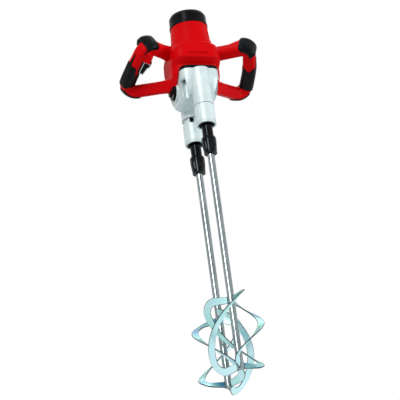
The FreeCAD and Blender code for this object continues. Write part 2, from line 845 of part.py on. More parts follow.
armature_top = bridge_level + bridge_height
pinion = gear(pinion_teeth, first_module, input_gear_width, 0, motor_y, input_gear_level,
              countershaft_angle)
pinion_root = first_module * (pinion_teeth / 2 - dedendum_share)
shaft = fuse([
    cyl(pinion_root, pocket_top - shaft_bottom, at(0, motor_y, shaft_bottom)),
    cyl(shaft_radius, armature_top - pocket_top, at(0, motor_y, pocket_top)),
    pinion,
])
save("armature_shaft", shaft)
core = ring(core_radius, shaft_radius, core_top - core_bottom, at(0, motor_y, core_bottom))
slots = []
for index in range(core_slots):
    slot = block(at(core_radius - core_slot_depth, -core_slot_width / 2, core_bottom),
                 at(core_radius + pocket_gap, core_slot_width / 2, core_top))
    slot.rotate(vec(0, 0, 0), up, 360 * index / core_slots)
    slot.translate(at(0, motor_y, 0))
    slots.append(slot)
save("armature_core", core.cut(slots[0].multiFuse(slots[1:])))
save("armature_windings", group([
    ring(winding_radius, shaft_radius, winding_length, at(0, motor_y, core_top)),
    ring(winding_radius, shaft_radius, winding_length - part_gap,
         at(0, motor_y, core_bottom - winding_length + part_gap))]))
save("commutator", ring(commutator_radius, shaft_radius, commutator_length,
                        at(0, motor_y, commutator_level)))

fan_parts = [ring(fan_hub, shaft_radius, fan_height - winding_length / 2, at(0, motor_y, fan_level)),
             ring(fan_radius, shaft_radius, fan_disc, at(0, motor_y, fan_level))]
for index in range(fan_blades):
    vane = block(at(fan_hub + winding_radius / 2, -fan_blade_thickness / 2, fan_level),
                 at(fan_radius, fan_blade_thickness / 2, fan_level + fan_height))
    vane.rotate(vec(0, 0, 0), up, 360 * index / fan_blades)
    vane.translate(at(0, motor_y, 0))
    fan_parts.append(vane)
save("cooling_fan", fuse(fan_parts))

stack = ring(stack_radius, stack_bore, core_top - core_bottom, at(0, motor_y, core_bottom))
windows = [
    block(at(-stack_window / 2, motor_y + side * stack_bore - stack_bore * window_share, core_bottom),
          at(stack_window / 2, motor_y + side * stack_bore + stack_bore * window_share, core_top))
    for side in (-1, 1)]
save("field_stack", stack.cut(windows[0].fuse(windows[1])))
coils = []
for side in (-1, 1):
    coil = block(at(-stack_window / 2 + coil_gap,
                    motor_y + side * stack_bore - stack_bore * window_share + coil_gap,
                    core_bottom - coil_length),
                 at(stack_window / 2 - coil_gap,
                    motor_y + side * stack_bore + stack_bore * window_share - coil_gap,
                    core_top + coil_length))
    coils.append(coil.cut(cyl(stack_bore + coil_gap, cap_top, at(0, motor_y, 0))))
save("field_coils", group(coils))
save("motor_bearings", group([
    ring(bearing_radius, shaft_radius + run_gap, low_bearing_width,
         at(0, motor_y, cover_top - low_bearing_width)),
    ring(bearing_radius, shaft_radius + run_gap, low_bearing_width,
         at(0, motor_y, bridge_level + run_gap))]))

brushes = []
holders = []
for side in (-1, 1):
    inner = commutator_radius + run_gap
    brush = block(at(inner, motor_y - brush_width / 2, brush_mid - brush_height / 2),
                  at(inner + brush_length, motor_y + brush_width / 2, brush_mid + brush_height / 2))
    outer_block = block(at(inner + holder_wall, motor_y - brush_width / 2 - holder_wall,
                           brush_mid - brush_height / 2 - holder_wall),
                        at(inner + holder_wall + holder_length, motor_y + brush_width / 2 + holder_wall,
                           brush_mid + brush_height / 2 + holder_wall))
    channel = block(at(inner, motor_y - brush_width / 2 - run_gap,
                       brush_mid - brush_height / 2 - run_gap),
                    at(inner + holder_length, motor_y + brush_width / 2 + run_gap,
                       brush_mid + brush_height / 2 + run_gap))
    holder = outer_block.cut(channel)
    brushes.append(brush if side > 0 else mirrored(brush))
    holders.append(holder if side > 0 else mirrored(holder))
save("carbon_brushes", group(brushes))
save("brush_holders", group(holders))

tube = turned([
    (stack_radius, yoke_top), (motor_base_radius, yoke_top), (motor_top_radius, motor_top),
    (stack_radius, motor_top)], 0, motor_y)
save("motor_housing", tube)

cap_inner = cap_radius - cap_wall
cap = turned([
    (cap_inner, motor_top), (cap_radius, motor_top), (cap_radius, cap_top - cap_chamfer_height),
    (cap_radius - cap_chamfer, cap_top), (0, cap_top), (0, cap_top - cap_wall),
    (cap_inner - cap_chamfer, cap_top - cap_wall), (cap_inner, cap_top - cap_chamfer_height)], 0,
    motor_y)
bridge = ring(cap_inner, bearing_radius, bridge_height, at(0, motor_y, bridge_level))
cap_cuts = []
for index in range(bridge_hole_count):
    angle = math.radians(180 * (2 * index + 1) / bridge_hole_count)
    reach = (cap_inner + bearing_radius) / 2
    spot = at(reach * math.cos(angle), motor_y + reach * math.sin(angle), bridge_level)
    cap_cuts.append(cyl(bridge_hole, bridge_height, spot))
for index in range(cap_slot_count):
    slot = block(at(cap_slot_start, -cap_slot_width / 2, cap_top - cap_wall),
                 at(cap_slot_start + cap_slot_length / 2, cap_slot_width / 2, cap_top))
    slot.rotate(vec(0, 0, 0), up, 360 * index / cap_slot_count)
    slot.translate(at(0, motor_y, 0))
    cap_cuts.append(slot)
cap = cap.fuse(bridge).cut(cap_cuts[0].multiFuse(cap_cuts[1:]))
save("motor_cap", cap.removeSplitter())

# Yoke

def yoke_body(inset):
    # Cheeks below, an undercut brow over the gear housing, and the bar that runs into the motor collar.
    lofts = []
    for outlines, ruled in ((cheek_outlines, False), ([cheek_outlines[-1], brow_outline], True),
                            (bar_outlines, False)):
        wires = [rounded_wire(half - inset, front + inset, rear - inset, radius - inset,
                              casting_top + rise)
                 for rise, half, front, rear, radius in outlines]
        lofts.append(Part.makeLoft(wires, True, ruled))
    return fuse(lofts)


# Handle loops

def loop_segments():
    # Straight runs and corner arcs in order. Each starts in a frame: spot, heading, outward, lift.
    first_turn = (loop_points[1] - loop_points[0]).cross(loop_points[2] - loop_points[1])
    lift = first_turn.normalize()
    segments = []
    last = loop_points[0]
    for index, radius in enumerate(loop_radii):
        corner = loop_points[index + 1]
        inward = (loop_points[index] - corner).normalize()
        onward = (loop_points[index + 2] - corner).normalize()
        opening = inward.getAngle(onward)
        reach = radius / math.tan(opening / 2)
        start = corner + inward * reach
        heading = inward * -1
        frame = (last, heading, heading.cross(lift), lift)
        segments.append({"frame": frame, "length": (start - last).Length, "turn": 0.0})
        axis = heading.cross(onward).normalize()
        turn = math.pi - opening
        centre = start + axis.cross(heading) * radius
        frame = (start, heading, heading.cross(lift), lift)
        segments.append({"frame": frame, "length": turn * radius, "turn": turn, "centre": centre,
                         "axis": axis})
        lift = FreeCAD.Rotation(axis, math.degrees(turn)).multVec(lift)
        last = corner + onward * reach
    final = loop_points[-1]
    heading = (final - last).normalize()
    frame = (last, heading, heading.cross(lift), lift)
    segments.append({"frame": frame, "length": (final - last).Length, "turn": 0.0})
    return segments


segments = loop_segments()
starts = [0.0]
for segment in segments:
    starts.append(starts[-1] + segment["length"])
loop_length = starts[-1]


def frame_in(segment, distance):
    spot, heading, out, lift = segment["frame"]
    if segment["turn"] == 0:
        return spot + heading * distance, heading, out, lift
    turn = FreeCAD.Rotation(segment["axis"],
                            math.degrees(segment["turn"]) * distance / segment["length"])
    centre = segment["centre"]
    return centre + turn.multVec(spot - centre), turn.multVec(heading), turn.multVec(out), turn.multVec(lift)


def frame_at(distance):
    for segment, start in zip(segments, starts):
        if distance <= start + segment["length"]:
            return frame_in(segment, distance - start)
    return frame_in(segments[-1], segments[-1]["length"])


def place(frame, across, rise):
    spot, heading, out, lift = frame
    return spot + out * across + lift * rise


def sweep(section, start, end):
    # Carries a section face along the loop from one distance to another.
    runs = []
    for segment, begin in zip(segments, starts):
        low = max(start, begin)
        high = min(end, begin + segment["length"])
        if high - low < part_gap:
            continue
        frame = frame_in(segment, low - begin)
        face = section(frame)
        if segment["turn"] == 0:
            runs.append(face.extrude(frame[1] * (high - low)))
        else:
            degrees = math.degrees(segment["turn"]) * (high - low) / segment["length"]
            runs.append(face.revolve(segment["centre"], segment["axis"], degrees))
    return fuse(runs)


def corner_arc(frame, across, rise, radius, start, side=1):
    points = []
    for turn in (0, 45, 90):
        angle = math.radians(start + turn)
        points.append(place(frame, across + radius * math.cos(angle),
                            side * (rise + radius * math.sin(angle))))
    return points


def joined(runs):
    # Closed wire through points and three-point arcs.
    edges = []
    for index, run in enumerate(runs):
        if len(run) == 3:
            edges.append(Part.Arc(*run).toShape())
        edges.append(Part.makeLine(run[-1], runs[(index + 1) % len(runs)][0]))
    return Part.Wire(edges)


def section_wire(frame, offset, share=1.0):
    # Rounded rectangle across the loop, grown by the offset.
    half_width = (loop_half_width + offset) * share
    half_height = (loop_half_height + offset) * share
    radius = (section_round + offset) * share
    wide = half_width - radius
    tall = half_height - radius
    return joined([corner_arc(frame, wide, tall, radius, 0), corner_arc(frame, -wide, tall, radius, 90),
                   corner_arc(frame, -wide, -tall, radius, 180),
                   corner_arc(frame, wide, -tall, radius, 270)])


def half_section(side):
    # One half shell: round the outside of the loop and back round its hollow.
    def face(frame):
        wide = loop_half_width - section_round
        tall = loop_half_height - section_round
        hollow_round = section_round - shell_wall
        hollow_half = loop_half_width - shell_wall
        base = side * part_gap / 2
        return Part.Face(joined([
            [place(frame, loop_half_width, base)],
            corner_arc(frame, wide, tall, section_round, 0, side),
            corner_arc(frame, -wide, tall, section_round, 90, side),
            [place(frame, -loop_half_width, base)],
            [place(frame, -hollow_half, base)],
            corner_arc(frame, -wide, tall, hollow_round, 90, side)[::-1],
            corner_arc(frame, wide, tall, hollow_round, 0, side)[::-1],
            [place(frame, hollow_half, base)],
        ]))
    return face


def band_section(thickness):
    # Closed band round the outside of the shells.
    def face(frame):
        wires = [section_wire(frame, thickness), section_wire(frame, trim_gap)]
        return Part.makeFace(wires, "Part::FaceMakerBullseye")
    return face


def horn_section(frame):
    # Saddle over the upper and outer sides of the shells, with its ends on the finger side.
    wide = loop_half_width - section_round
    tall = loop_half_height - section_round
    inner = section_round + trim_gap
    outer = section_round + bumper_thickness
    high = tall + bumper_horn
    shoulder = [place(frame, -wide - inner * math.sin(turn), tall + inner * math.cos(turn))
                for turn in (math.pi / 4, math.pi / 8, 0)]
    near = wide + inner * math.sin(math.pi / 4) - section_round
    return Part.Face(joined([
        shoulder, corner_arc(frame, wide, tall, inner, 0)[::-1],
        corner_arc(frame, wide, -tall, inner, 270)[::-1],
        [place(frame, bumper_reach, -tall - inner)], [place(frame, bumper_reach, -tall - outer)],
        corner_arc(frame, wide, -tall, outer, 270), corner_arc(frame, wide, high, outer, 0),
        corner_arc(frame, -near, high + bumper_thickness, section_round, 90),
    ]))


def ramp_wire(frame, rise):
    # Outline of the shells that stands higher on their upper side by the rise.
    wide = loop_half_width - section_round
    tall = loop_half_height - section_round
    return joined([corner_arc(frame, wide, tall + rise, section_round, 0),
                   corner_arc(frame, -wide, tall + rise, section_round, 90),
                   [place(frame, -loop_half_width, part_gap)],
                   [place(frame, loop_half_width, part_gap)]])


def pad_section(frame):
    # Pad wrapped round the outer side of the elbow.
    wide = loop_half_width - section_round
    tall = loop_half_height - section_round
    inner = section_round + trim_gap
    outer = section_round + pad_thickness
    return Part.Face(joined([
        [place(frame, pad_reach, tall + inner)], [place(frame, pad_reach, tall + outer)],
        corner_arc(frame, wide, tall, outer, 0)[::-1], corner_arc(frame, wide, -tall, outer, 270)[::-1],
        [place(frame, pad_reach, -tall - outer)], [place(frame, pad_reach, -tall - inner)],
        corner_arc(frame, wide, -tall, inner, 270), corner_arc(frame, wide, tall, inner, 0),
    ]))


def strip_section(frame):
    # Flat strip along the outer side of the grip.
    inner = loop_half_width + trim_gap
    outer = loop_half_width + grip_thickness
    return Part.Face(joined([[place(frame, inner, strip_half)], [place(frame, inner, -strip_half)],
                             [place(frame, outer, trim_gap - strip_half)],
                             [place(frame, outer, strip_half - trim_gap)]]))


corner_start, corner_end = starts[1], starts[2]
bumper_start = corner_start + bumper_lead
bumper_end = corner_end + bumper_tail
bow_start, bow_end = starts[3], starts[4]
elbow_start, elbow_end = starts[5], starts[6]
shell_start = arm_length
shell_end = loop_length - arm_length
boss_spots = [shell_start + arm_spigot + 2 * boss_radius,
              bow_end, (elbow_end + shell_end - arm_spigot) / 2]


def boss(distance, side):
    spot, heading, out, lift = frame_at(distance)
    height = loop_half_height - shell_wall / 2 - part_gap / 2
    return cyl(boss_radius, height, spot + lift * (side * part_gap / 2), lift * side)


def boss_bore(distance, side):
    spot, heading, out, lift = frame_at(distance)
    hole = cyl(boss_hole, loop_half_height - shell_wall, spot, lift * side)
    if side < 0:
        return hole
    seat = spot + lift * (loop_half_height - loop_screw_recess)
    return hole.fuse(cyl(loop_screw_head + trim_gap, loop_screw_recess + ramp_rise, seat, lift))


def loop_screw(distance):
    spot, heading, out, lift = frame_at(distance)
    seat = spot + lift * (loop_half_height - loop_screw_recess)
    length = 2 * loop_half_height - loop_screw_recess - shell_wall - trim_gap
    return socket_screw(loop_screw_head, loop_screw_recess - part_gap, boss_hole, length, seat,
                        lift * -1)


# Trigger, in a frame on the finger side of the grip

trigger_spot, trigger_heading, grip_out, grip_lift = frame_at(bow_start)
trigger_turn = FreeCAD.Rotation(trigger_heading, trigger_tilt)
trigger_out = trigger_turn.multVec(grip_out)
trigger_lift = trigger_turn.multVec(grip_lift)


def finger_block(outline, low, high):
    # Block from an outline of (along the grip, out from its middle towards the fingers) points.
    points = [trigger_spot + trigger_heading * a - trigger_out * b + trigger_lift * low for a,
              b in outline]
    return Part.Face(Part.makePolygon(points + points[:1])).extrude(trigger_lift * (high - low))


def finger_box(start, end, inner, outer):
    return [(start, inner), (end, inner), (end, outer), (start, outer)]


trigger_face = loop_half_width + trigger_reach
trigger_root = loop_half_width - trigger_depth
trigger_end = trigger_length / 2
hood_half = trigger_half_width + trigger_gap + shell_wall
hood_start = -trigger_end - hood_length
hood_crest = -trigger_end - hood_length * hood_slope_share
hood_end = -trigger_end - trigger_gap
hood_face = loop_half_width + hood_reach
hood_outline = [(hood_start, 0), (hood_start, loop_half_width), (hood_crest, hood_face),
                (hood_end, hood_face),
                (hood_end, 0)]
slot_box = finger_box(-trigger_end - trigger_gap, trigger_end + trigger_gap,
                      trigger_root - trigger_travel - trigger_gap,
                      trigger_face)
slot_half = trigger_half_width + trigger_gap
trigger_slot = finger_block(slot_box, -slot_half, slot_half)

tube_core = sweep(lambda frame: Part.Face(section_wire(frame, -shell_wall / 2)), shell_start, bow_end)
ramp = Part.makeLoft([ramp_wire(frame_at(corner_start - ramp_length), 0),
                      ramp_wire(frame_at(corner_start), ramp_rise)],
                     True)
ramp = ramp.fuse(sweep(lambda frame: Part.Face(ramp_wire(frame, ramp_rise)), corner_start,
                       bumper_start - trim_gap))
shells = {}
for word, side in (("upper", 1), ("lower", -1)):
    bosses = [boss(spot, side) for spot in boss_spots]
    shell = fuse([sweep(half_section(side), shell_start, shell_end)] + bosses)
    if side > 0:
        shell = shell.fuse(ramp.cut(tube_core))
    bores = [boss_bore(spot, side) for spot in boss_spots]
    shells[word] = shell.cut(bores[0].multiFuse(bores[1:]))
    save("right_handle_" + word + "_shell", shells[word])
hood = finger_block(hood_outline, -hood_half, hood_half)
crest_edges = []
for edge in hood.Edges:
    middle = edge.valueAt((edge.FirstParameter + edge.LastParameter) / 2) - trigger_spot
    if middle.dot(trigger_out) < -loop_half_width and abs(middle.dot(trigger_lift)) > part_gap:
        crest_edges.append(edge)
hood = hood.makeFillet(hood_round, crest_edges).cut([tube_core, shells["upper"]])
save("left_handle_upper_shell", mirrored(shells["upper"].cut(trigger_slot)))
save("left_handle_lower_shell", mirrored(fuse([shells["lower"], hood]).cut(trigger_slot)))

loop_screws = [loop_screw(spot) for spot in boss_spots]
save("handle_screws", group(loop_screws + [mirrored(screw) for screw in loop_screws]))

trigger_lip = trigger_face - trigger_hook
trigger_outline = [(-trigger_end, trigger_root), (trigger_end, trigger_root),
                   (trigger_end, trigger_lip - trigger_hook),
                   (-trigger_end * trigger_lip_share, trigger_lip),
                   (-trigger_end * trigger_nose_share, trigger_face),
                   (-trigger_end, trigger_face)]
trigger = finger_block(trigger_outline, -trigger_half_width, trigger_half_width)
rim_edges = []
for edge in trigger.Edges:
    middle = edge.valueAt((edge.FirstParameter + edge.LastParameter) / 2) - trigger_spot
    if middle.dot(trigger_out) < 3 * trigger_hook - trigger_face:
        rim_edges.append(edge)
save("trigger", mirrored(trigger.makeFillet(trigger_round, rim_edges)))

switch_face = trigger_root - trigger_travel - trigger_gap
switch = finger_block(finger_box(-switch_length / 2, switch_length / 2, switch_face - switch_thickness,
                                 switch_face),
                      -switch_half_height, switch_half_height)
save("switch_module", mirrored(switch))

def bevel(distance, side):
    # Wedge off the raised edge at one end of the bumper.
    spot, heading, out, lift = frame_at(distance)
    top = loop_half_height + bumper_horn + bumper_thickness
    edge = spot - out * (2 * loop_half_width) - heading * (side * trim_gap)
    points = [edge + lift * (top - bumper_bevel), edge + lift * (top + bumper_bevel),
              edge + lift * (top + bumper_bevel) + heading * (side * 2 * bumper_bevel)]
    return Part.Face(Part.makePolygon(points + points[:1])).extrude(out * (4 * loop_half_width))


def tongue_cut(distance):
    # Wedge that lets the shell reach into the lower side of the grip.
    spot, heading, out, lift = frame_at(distance)
    points = [spot - out * tongue_half - heading * trim_gap,
              spot + out * tongue_half - heading * trim_gap,
              spot + heading * tongue_length]
    return Part.Face(Part.makePolygon(points + points[:1])).extrude(lift * (-2 * loop_half_height))


grip_start = bow_end - grip_lead
grip_end = elbow_start + grip_lead / 2
grip_band = sweep(band_section(grip_thickness), grip_start, grip_end).cut(tongue_cut(grip_start))
trims = {
    "front_bumper": sweep(horn_section, bumper_start,
                          bumper_end).cut([bevel(bumper_start, 1), bevel(bumper_end, -1)]),
    "grip": fuse([grip_band, sweep(strip_section, bumper_end + trim_gap, grip_start)]),
    "rear_bumper": sweep(pad_section, elbow_start + grip_lead, elbow_end + grip_lead / 2),
}
finger_clear = finger_block(
    finger_box(hood_start - trim_gap, trigger_end + 2 * trigger_gap, trigger_root - trigger_travel,
               trigger_face),
    -hood_half - trim_gap, hood_half + trim_gap)
for word, trim in trims.items():
    save("right_" + word, trim)
    save("left_" + word, mirrored(trim.cut(finger_clear)))

# Yoke with its four arm stubs, over which the handle shells close

def arm(distance, end):
    # Stub from inside the yoke to the end of the handle shells, wider at its root.
    return Part.makeLoft([section_wire(frame_at(distance), 0.0, arm_flare_share),
                          section_wire(frame_at(end), 0.0)],
                         True, True)


def arm_plug(start, end):
    inset = -shell_wall - trim_gap
    return sweep(lambda frame: Part.Face(section_wire(frame, inset)), start, end)


arms = [arm(0.0, shell_start), arm(loop_length, shell_end),
        arm_plug(shell_start, shell_start + arm_spigot),
        arm_plug(shell_end - arm_spigot, shell_end)]
arms += [mirrored(shape) for shape in arms]
outer = yoke_body(0.0)
arch_half_width = flange_half_x + arch_gap
arch_top = casting_top + arch_lift
span = 4 * rear_y
below = block(at(-span, -span, 0), at(span, span, casting_top - trim_gap))
inner = yoke_body(moulded_wall).cut(below)
arch_face = Part.Face(rounded_wire(arch_half_width, 0, arch_top, arch_round, 0))
arch_face.rotate(vec(0, 0, 0), right, 90)
arch_face.translate(at(0, span / 2, 0))
arch_cut = arch_face.extrude(back * -span)
brow_level = casting_top + panel_rise
bar_front = bar_outlines[1][2]
vent_level = brow_level + panel_height / 2
panel = block(at(-panel_half, bar_front - vent_depth, brow_level),
              at(panel_half, brow_outline[2] + panel_depth, brow_level + panel_height))
vents = [panel]
for index in range(vent_count):
    x = (index - (vent_count - 1) / 2) * vent_pitch
    vents.append(block(at(x - vent_width / 2, bar_front - vent_depth / 2, vent_level - vent_height / 2),
                       at(x + vent_width / 2, bar_front + vent_depth / 2, vent_level + vent_height / 2)))
knob_notch = cyl(knob_radius + knob_notch_gap, knob_face_x,
                 at(-knob_face_x - knob_notch_gap, knob_y, knob_z), right)
yoke = outer.fuse(arms)
yoke = yoke.cut([inner, arch_cut, knob_notch] + vents)
save("yoke", yoke.removeSplitter())
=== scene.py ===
import json
import math

import bpy
import numpy as np
from mathutils import Matrix, Vector


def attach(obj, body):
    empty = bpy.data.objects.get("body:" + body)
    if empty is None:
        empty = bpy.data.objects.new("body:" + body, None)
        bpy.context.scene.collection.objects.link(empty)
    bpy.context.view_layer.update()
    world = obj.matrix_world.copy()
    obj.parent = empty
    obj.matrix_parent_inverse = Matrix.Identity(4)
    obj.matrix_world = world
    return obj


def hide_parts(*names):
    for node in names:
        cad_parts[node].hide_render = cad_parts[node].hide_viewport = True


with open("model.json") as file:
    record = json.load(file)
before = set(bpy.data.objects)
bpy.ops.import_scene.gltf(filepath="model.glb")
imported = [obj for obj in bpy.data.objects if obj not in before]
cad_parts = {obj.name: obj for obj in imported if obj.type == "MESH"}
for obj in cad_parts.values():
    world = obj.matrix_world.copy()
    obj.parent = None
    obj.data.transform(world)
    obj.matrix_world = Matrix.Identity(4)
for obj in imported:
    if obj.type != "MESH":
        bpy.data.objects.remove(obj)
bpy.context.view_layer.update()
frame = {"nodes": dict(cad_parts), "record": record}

print("frame loaded:", len(frame["nodes"]), "nodes")
scene = bpy.context.scene
scene.view_settings.view_transform = "Standard"
mm = 0.001
spindleSpacing, motorY = 104.0, -17.333  # millimetres, as in the CAD part
noiseLow, noiseHigh = 0.3, 0.7  # nearly all of a noise pattern lies between these


# shader nodes

def addNode(tree, kind, values=None, **settings):
    made = tree.nodes.new(kind)
    for key, value in settings.items():
        setattr(made, key, value)
    for key, value in (values or {}).items():
        made.inputs[key].default_value = value
    return made


def noise(tree, place, scale, detail=3.0, rough=0.55):
    # 0..1 clouds of about 1 / scale metres
    texture = addNode(tree, "ShaderNodeTexNoise", {"Scale": scale, "Detail": detail, "Roughness": rough})
    tree.links.new(place, texture.inputs["Vector"])
    return texture.outputs["Fac"]


def spread(tree, source, low, high, fromLow=noiseLow, fromHigh=noiseHigh):
    # stretches a 0..1 pattern onto the wanted range
    mapped = addNode(tree, "ShaderNodeMapRange",
                     {"From Min": fromLow, "From Max": fromHigh, "To Min": low, "To Max": high})
    tree.links.new(source, mapped.inputs["Value"])
    return mapped.outputs["Result"]


def tints(tree, source, stops):
    # colour ramp over a 0..1 pattern
    ramp = addNode(tree, "ShaderNodeValToRGB")
    band = ramp.color_ramp
    while len(band.elements) < len(stops):
        band.elements.new(0.5)
    for element, (place, colour) in zip(band.elements, stops):
        element.position = place
        element.color = (*colour, 1.0)
    tree.links.new(source, ramp.inputs["Fac"])
    return ramp.outputs["Color"]


def relief(tree, source, strength, depth, under=None):
    # bump of a pattern, laid over another bump where one is given
    bump = addNode(tree, "ShaderNodeBump", {"Strength": strength, "Distance": depth})
    tree.links.new(source, bump.inputs["Height"])
    if under is not None:
        tree.links.new(under, bump.inputs["Normal"])
    return bump.outputs["Normal"]


def startFinish(name, **shader):
    # new material with its even values set on the shader, and the Object coordinates its patterns read
    material = bpy.data.materials.new(name)
    material.use_nodes = True
    tree = material.node_tree
    bsdf = tree.nodes["Principled BSDF"]
    for key, value in shader.items():
        bsdf.inputs[key.replace("_", " ")].default_value = value
    place = addNode(tree, "ShaderNodeTexCoord").outputs["Object"]
    return material, tree, bsdf, place


# finishes: pattern scales are per metre, bump depths in metres

def blend(tree, source, dark, light, low=noiseLow, high=noiseHigh):
    # from dark to light over the range that a noise pattern fills
    return tints(tree, source, [(low, dark), (high, light)])


def joinUp(tree, bsdf, colour, rough, normal):
    for socket, source in (("Base Color", colour), ("Roughness", rough), ("Normal", normal)):
        tree.links.new(source, bsdf.inputs[socket])


moulding = {"drift": 9.0, "gloss": 40.0, "wave": 55.0, "waveStrength": 0.12, "waveDepth": 0.0006,
            "grainStrength": 0.35}


def mouldedFinish(name, dark, light, rough, grain, depth, **shader):
    # injection-moulded plastic: slow colour drift, slight gloss changes, spark-eroded grain on a faint wave
    material, tree, bsdf, place = startFinish(name, **shader)
    colour = blend(tree, noise(tree, place, moulding["drift"]), dark, light)
    gloss = spread(tree, noise(tree, place, moulding["gloss"]), *rough)
    waves = noise(tree, place, moulding["wave"], detail=1.0)
    wave = relief(tree, waves, moulding["waveStrength"], moulding["waveDepth"])
    skin = relief(tree, noise(tree, place, grain, detail=2.0), moulding["grainStrength"], depth, wave)
    joinUp(tree, bsdf, colour, gloss, skin)
    return material


casting = {"mottle": 34.0, "mottleLow": 0.28, "mottleHigh": 0.72, "gloss": 90.0, "sand": 900.0,
           "sandStrength": 0.30, "sandDepth": 0.00012, "swell": 60.0, "swellStrength": 0.10,
           "swellDepth": 0.0005}


def castFinish(name, dark, light, rough, metal):
    # blasted die casting: pale skin with soft mottling and a sandy grain
    material, tree, bsdf, place = startFinish(name, Metallic=metal)
    mottle = noise(tree, place, casting["mottle"], detail=5.0, rough=0.65)
    colour = blend(tree, mottle, dark, light, casting["mottleLow"], casting["mottleHigh"])
    gloss = spread(tree, noise(tree, place, casting["gloss"]), *rough)
    grains = noise(tree, place, casting["sand"], detail=2.0)
    sand = relief(tree, grains, casting["sandStrength"], casting["sandDepth"])
    swells = noise(tree, place, casting["swell"], detail=2.0)
    skin = relief(tree, swells, casting["swellStrength"], casting["swellDepth"], sand)
    joinUp(tree, bsdf, colour, gloss, skin)
    return material


turning = {"drift": 16.0, "round": 3.0, "depth": 0.0001}


def turnedFinish(name, dark, light, rough, lines, strength):
    # turned or ground steel: noise squeezed along the vertical axis gives fine lines round it
    material, tree, bsdf, place = startFinish(name, Metallic=1.0)
    squeeze = addNode(tree, "ShaderNodeMapping", {"Scale": (turning["round"], turning["round"], lines)})
    tree.links.new(place, squeeze.inputs["Vector"])
    marks = noise(tree, squeeze.outputs["Vector"], scale=1.0)
    colour = blend(tree, noise(tree, place, turning["drift"], detail=4.0), dark, light)
    joinUp(tree, bsdf, colour, spread(tree, marks, *rough), relief(tree, marks, strength, turning["depth"]))
    return material


plating = {"drift": 13.0, "gloss": 60.0, "grain": 420.0, "grainStrength": 0.12, "grainDepth": 0.0001,
           "faceStep": (1.4, 1.6), "rimStep": (0.425, 0.465)}


def stripFinish(name, pale, tinted, rim, rough):
    # plated strip with painted light: one face painted pale as a painted sheen, the other painted darker with
    # drifting tints as painted shade, and the narrow rims painted dark as painted shade
    # its UV map runs 0..1 along the strip, plus 2 on the tinted face, and 0..1 across it
    material, tree, bsdf, place = startFinish(name, Metallic=0.55, Specular_IOR_Level=0.3)
    drift = noise(tree, place, plating["drift"], detail=2.0)
    along = addNode(tree, "ShaderNodeUVMap", uv_map="strip")
    parts = addNode(tree, "ShaderNodeSeparateXYZ")
    tree.links.new(along.outputs["UV"], parts.inputs["Vector"])
    edge = addNode(tree, "ShaderNodeMath", {1: 0.5}, operation="SUBTRACT")
    tree.links.new(parts.outputs["Y"], edge.inputs[0])
    away = addNode(tree, "ShaderNodeMath", operation="ABSOLUTE")
    tree.links.new(edge.outputs[0], away.inputs[0])
    colour = tints(tree, drift, pale)
    # painted shade: masks for the darker tinted face and for the dark narrow rims
    shadedFace = spread(tree, parts.outputs["X"], 0.0, 1.0, *plating["faceStep"])
    rimShade = spread(tree, away.outputs[0], 0.0, 1.0, *plating["rimStep"])
    for mask, other in ((shadedFace, tints(tree, drift, tinted)), (rimShade, None)):
        mix = addNode(tree, "ShaderNodeMix", {7: (*rim, 1.0)}, data_type="RGBA")
        tree.links.new(mask, mix.inputs[0])
        tree.links.new(colour, mix.inputs[6])
        if other is not None:
            tree.links.new(other, mix.inputs[7])
        colour = mix.outputs[2]
    gloss = spread(tree, noise(tree, place, plating["gloss"]), *rough)
    grain = noise(tree, place, plating["grain"], detail=2.0)
    joinUp(tree, bsdf, colour, gloss, relief(tree, grain, plating["grainStrength"], plating["grainDepth"]))
    return material


rubber = {"drift": 22.0, "wear": 35.0, "cell": 900.0, "cellStrength": 0.35, "cellDepth": 0.0002}


def softFinish(name, dark, light, rough, **shader):
    # soft-touch elastomer: fine leathery grain, worn shinier in patches
    material, tree, bsdf, place = startFinish(name, **shader)
    colour = blend(tree, noise(tree, place, rubber["drift"]), dark, light)
    gloss = spread(tree, noise(tree, place, rubber["wear"], detail=4.0), *rough)
    cells = addNode(tree, "ShaderNodeTexVoronoi", {"Scale": rubber["cell"]})
    tree.links.new(place, cells.inputs["Vector"])
    skin = relief(tree, cells.outputs["Distance"], rubber["cellStrength"], rubber["cellDepth"])
    joinUp(tree, bsdf, colour, gloss, skin)
    return material


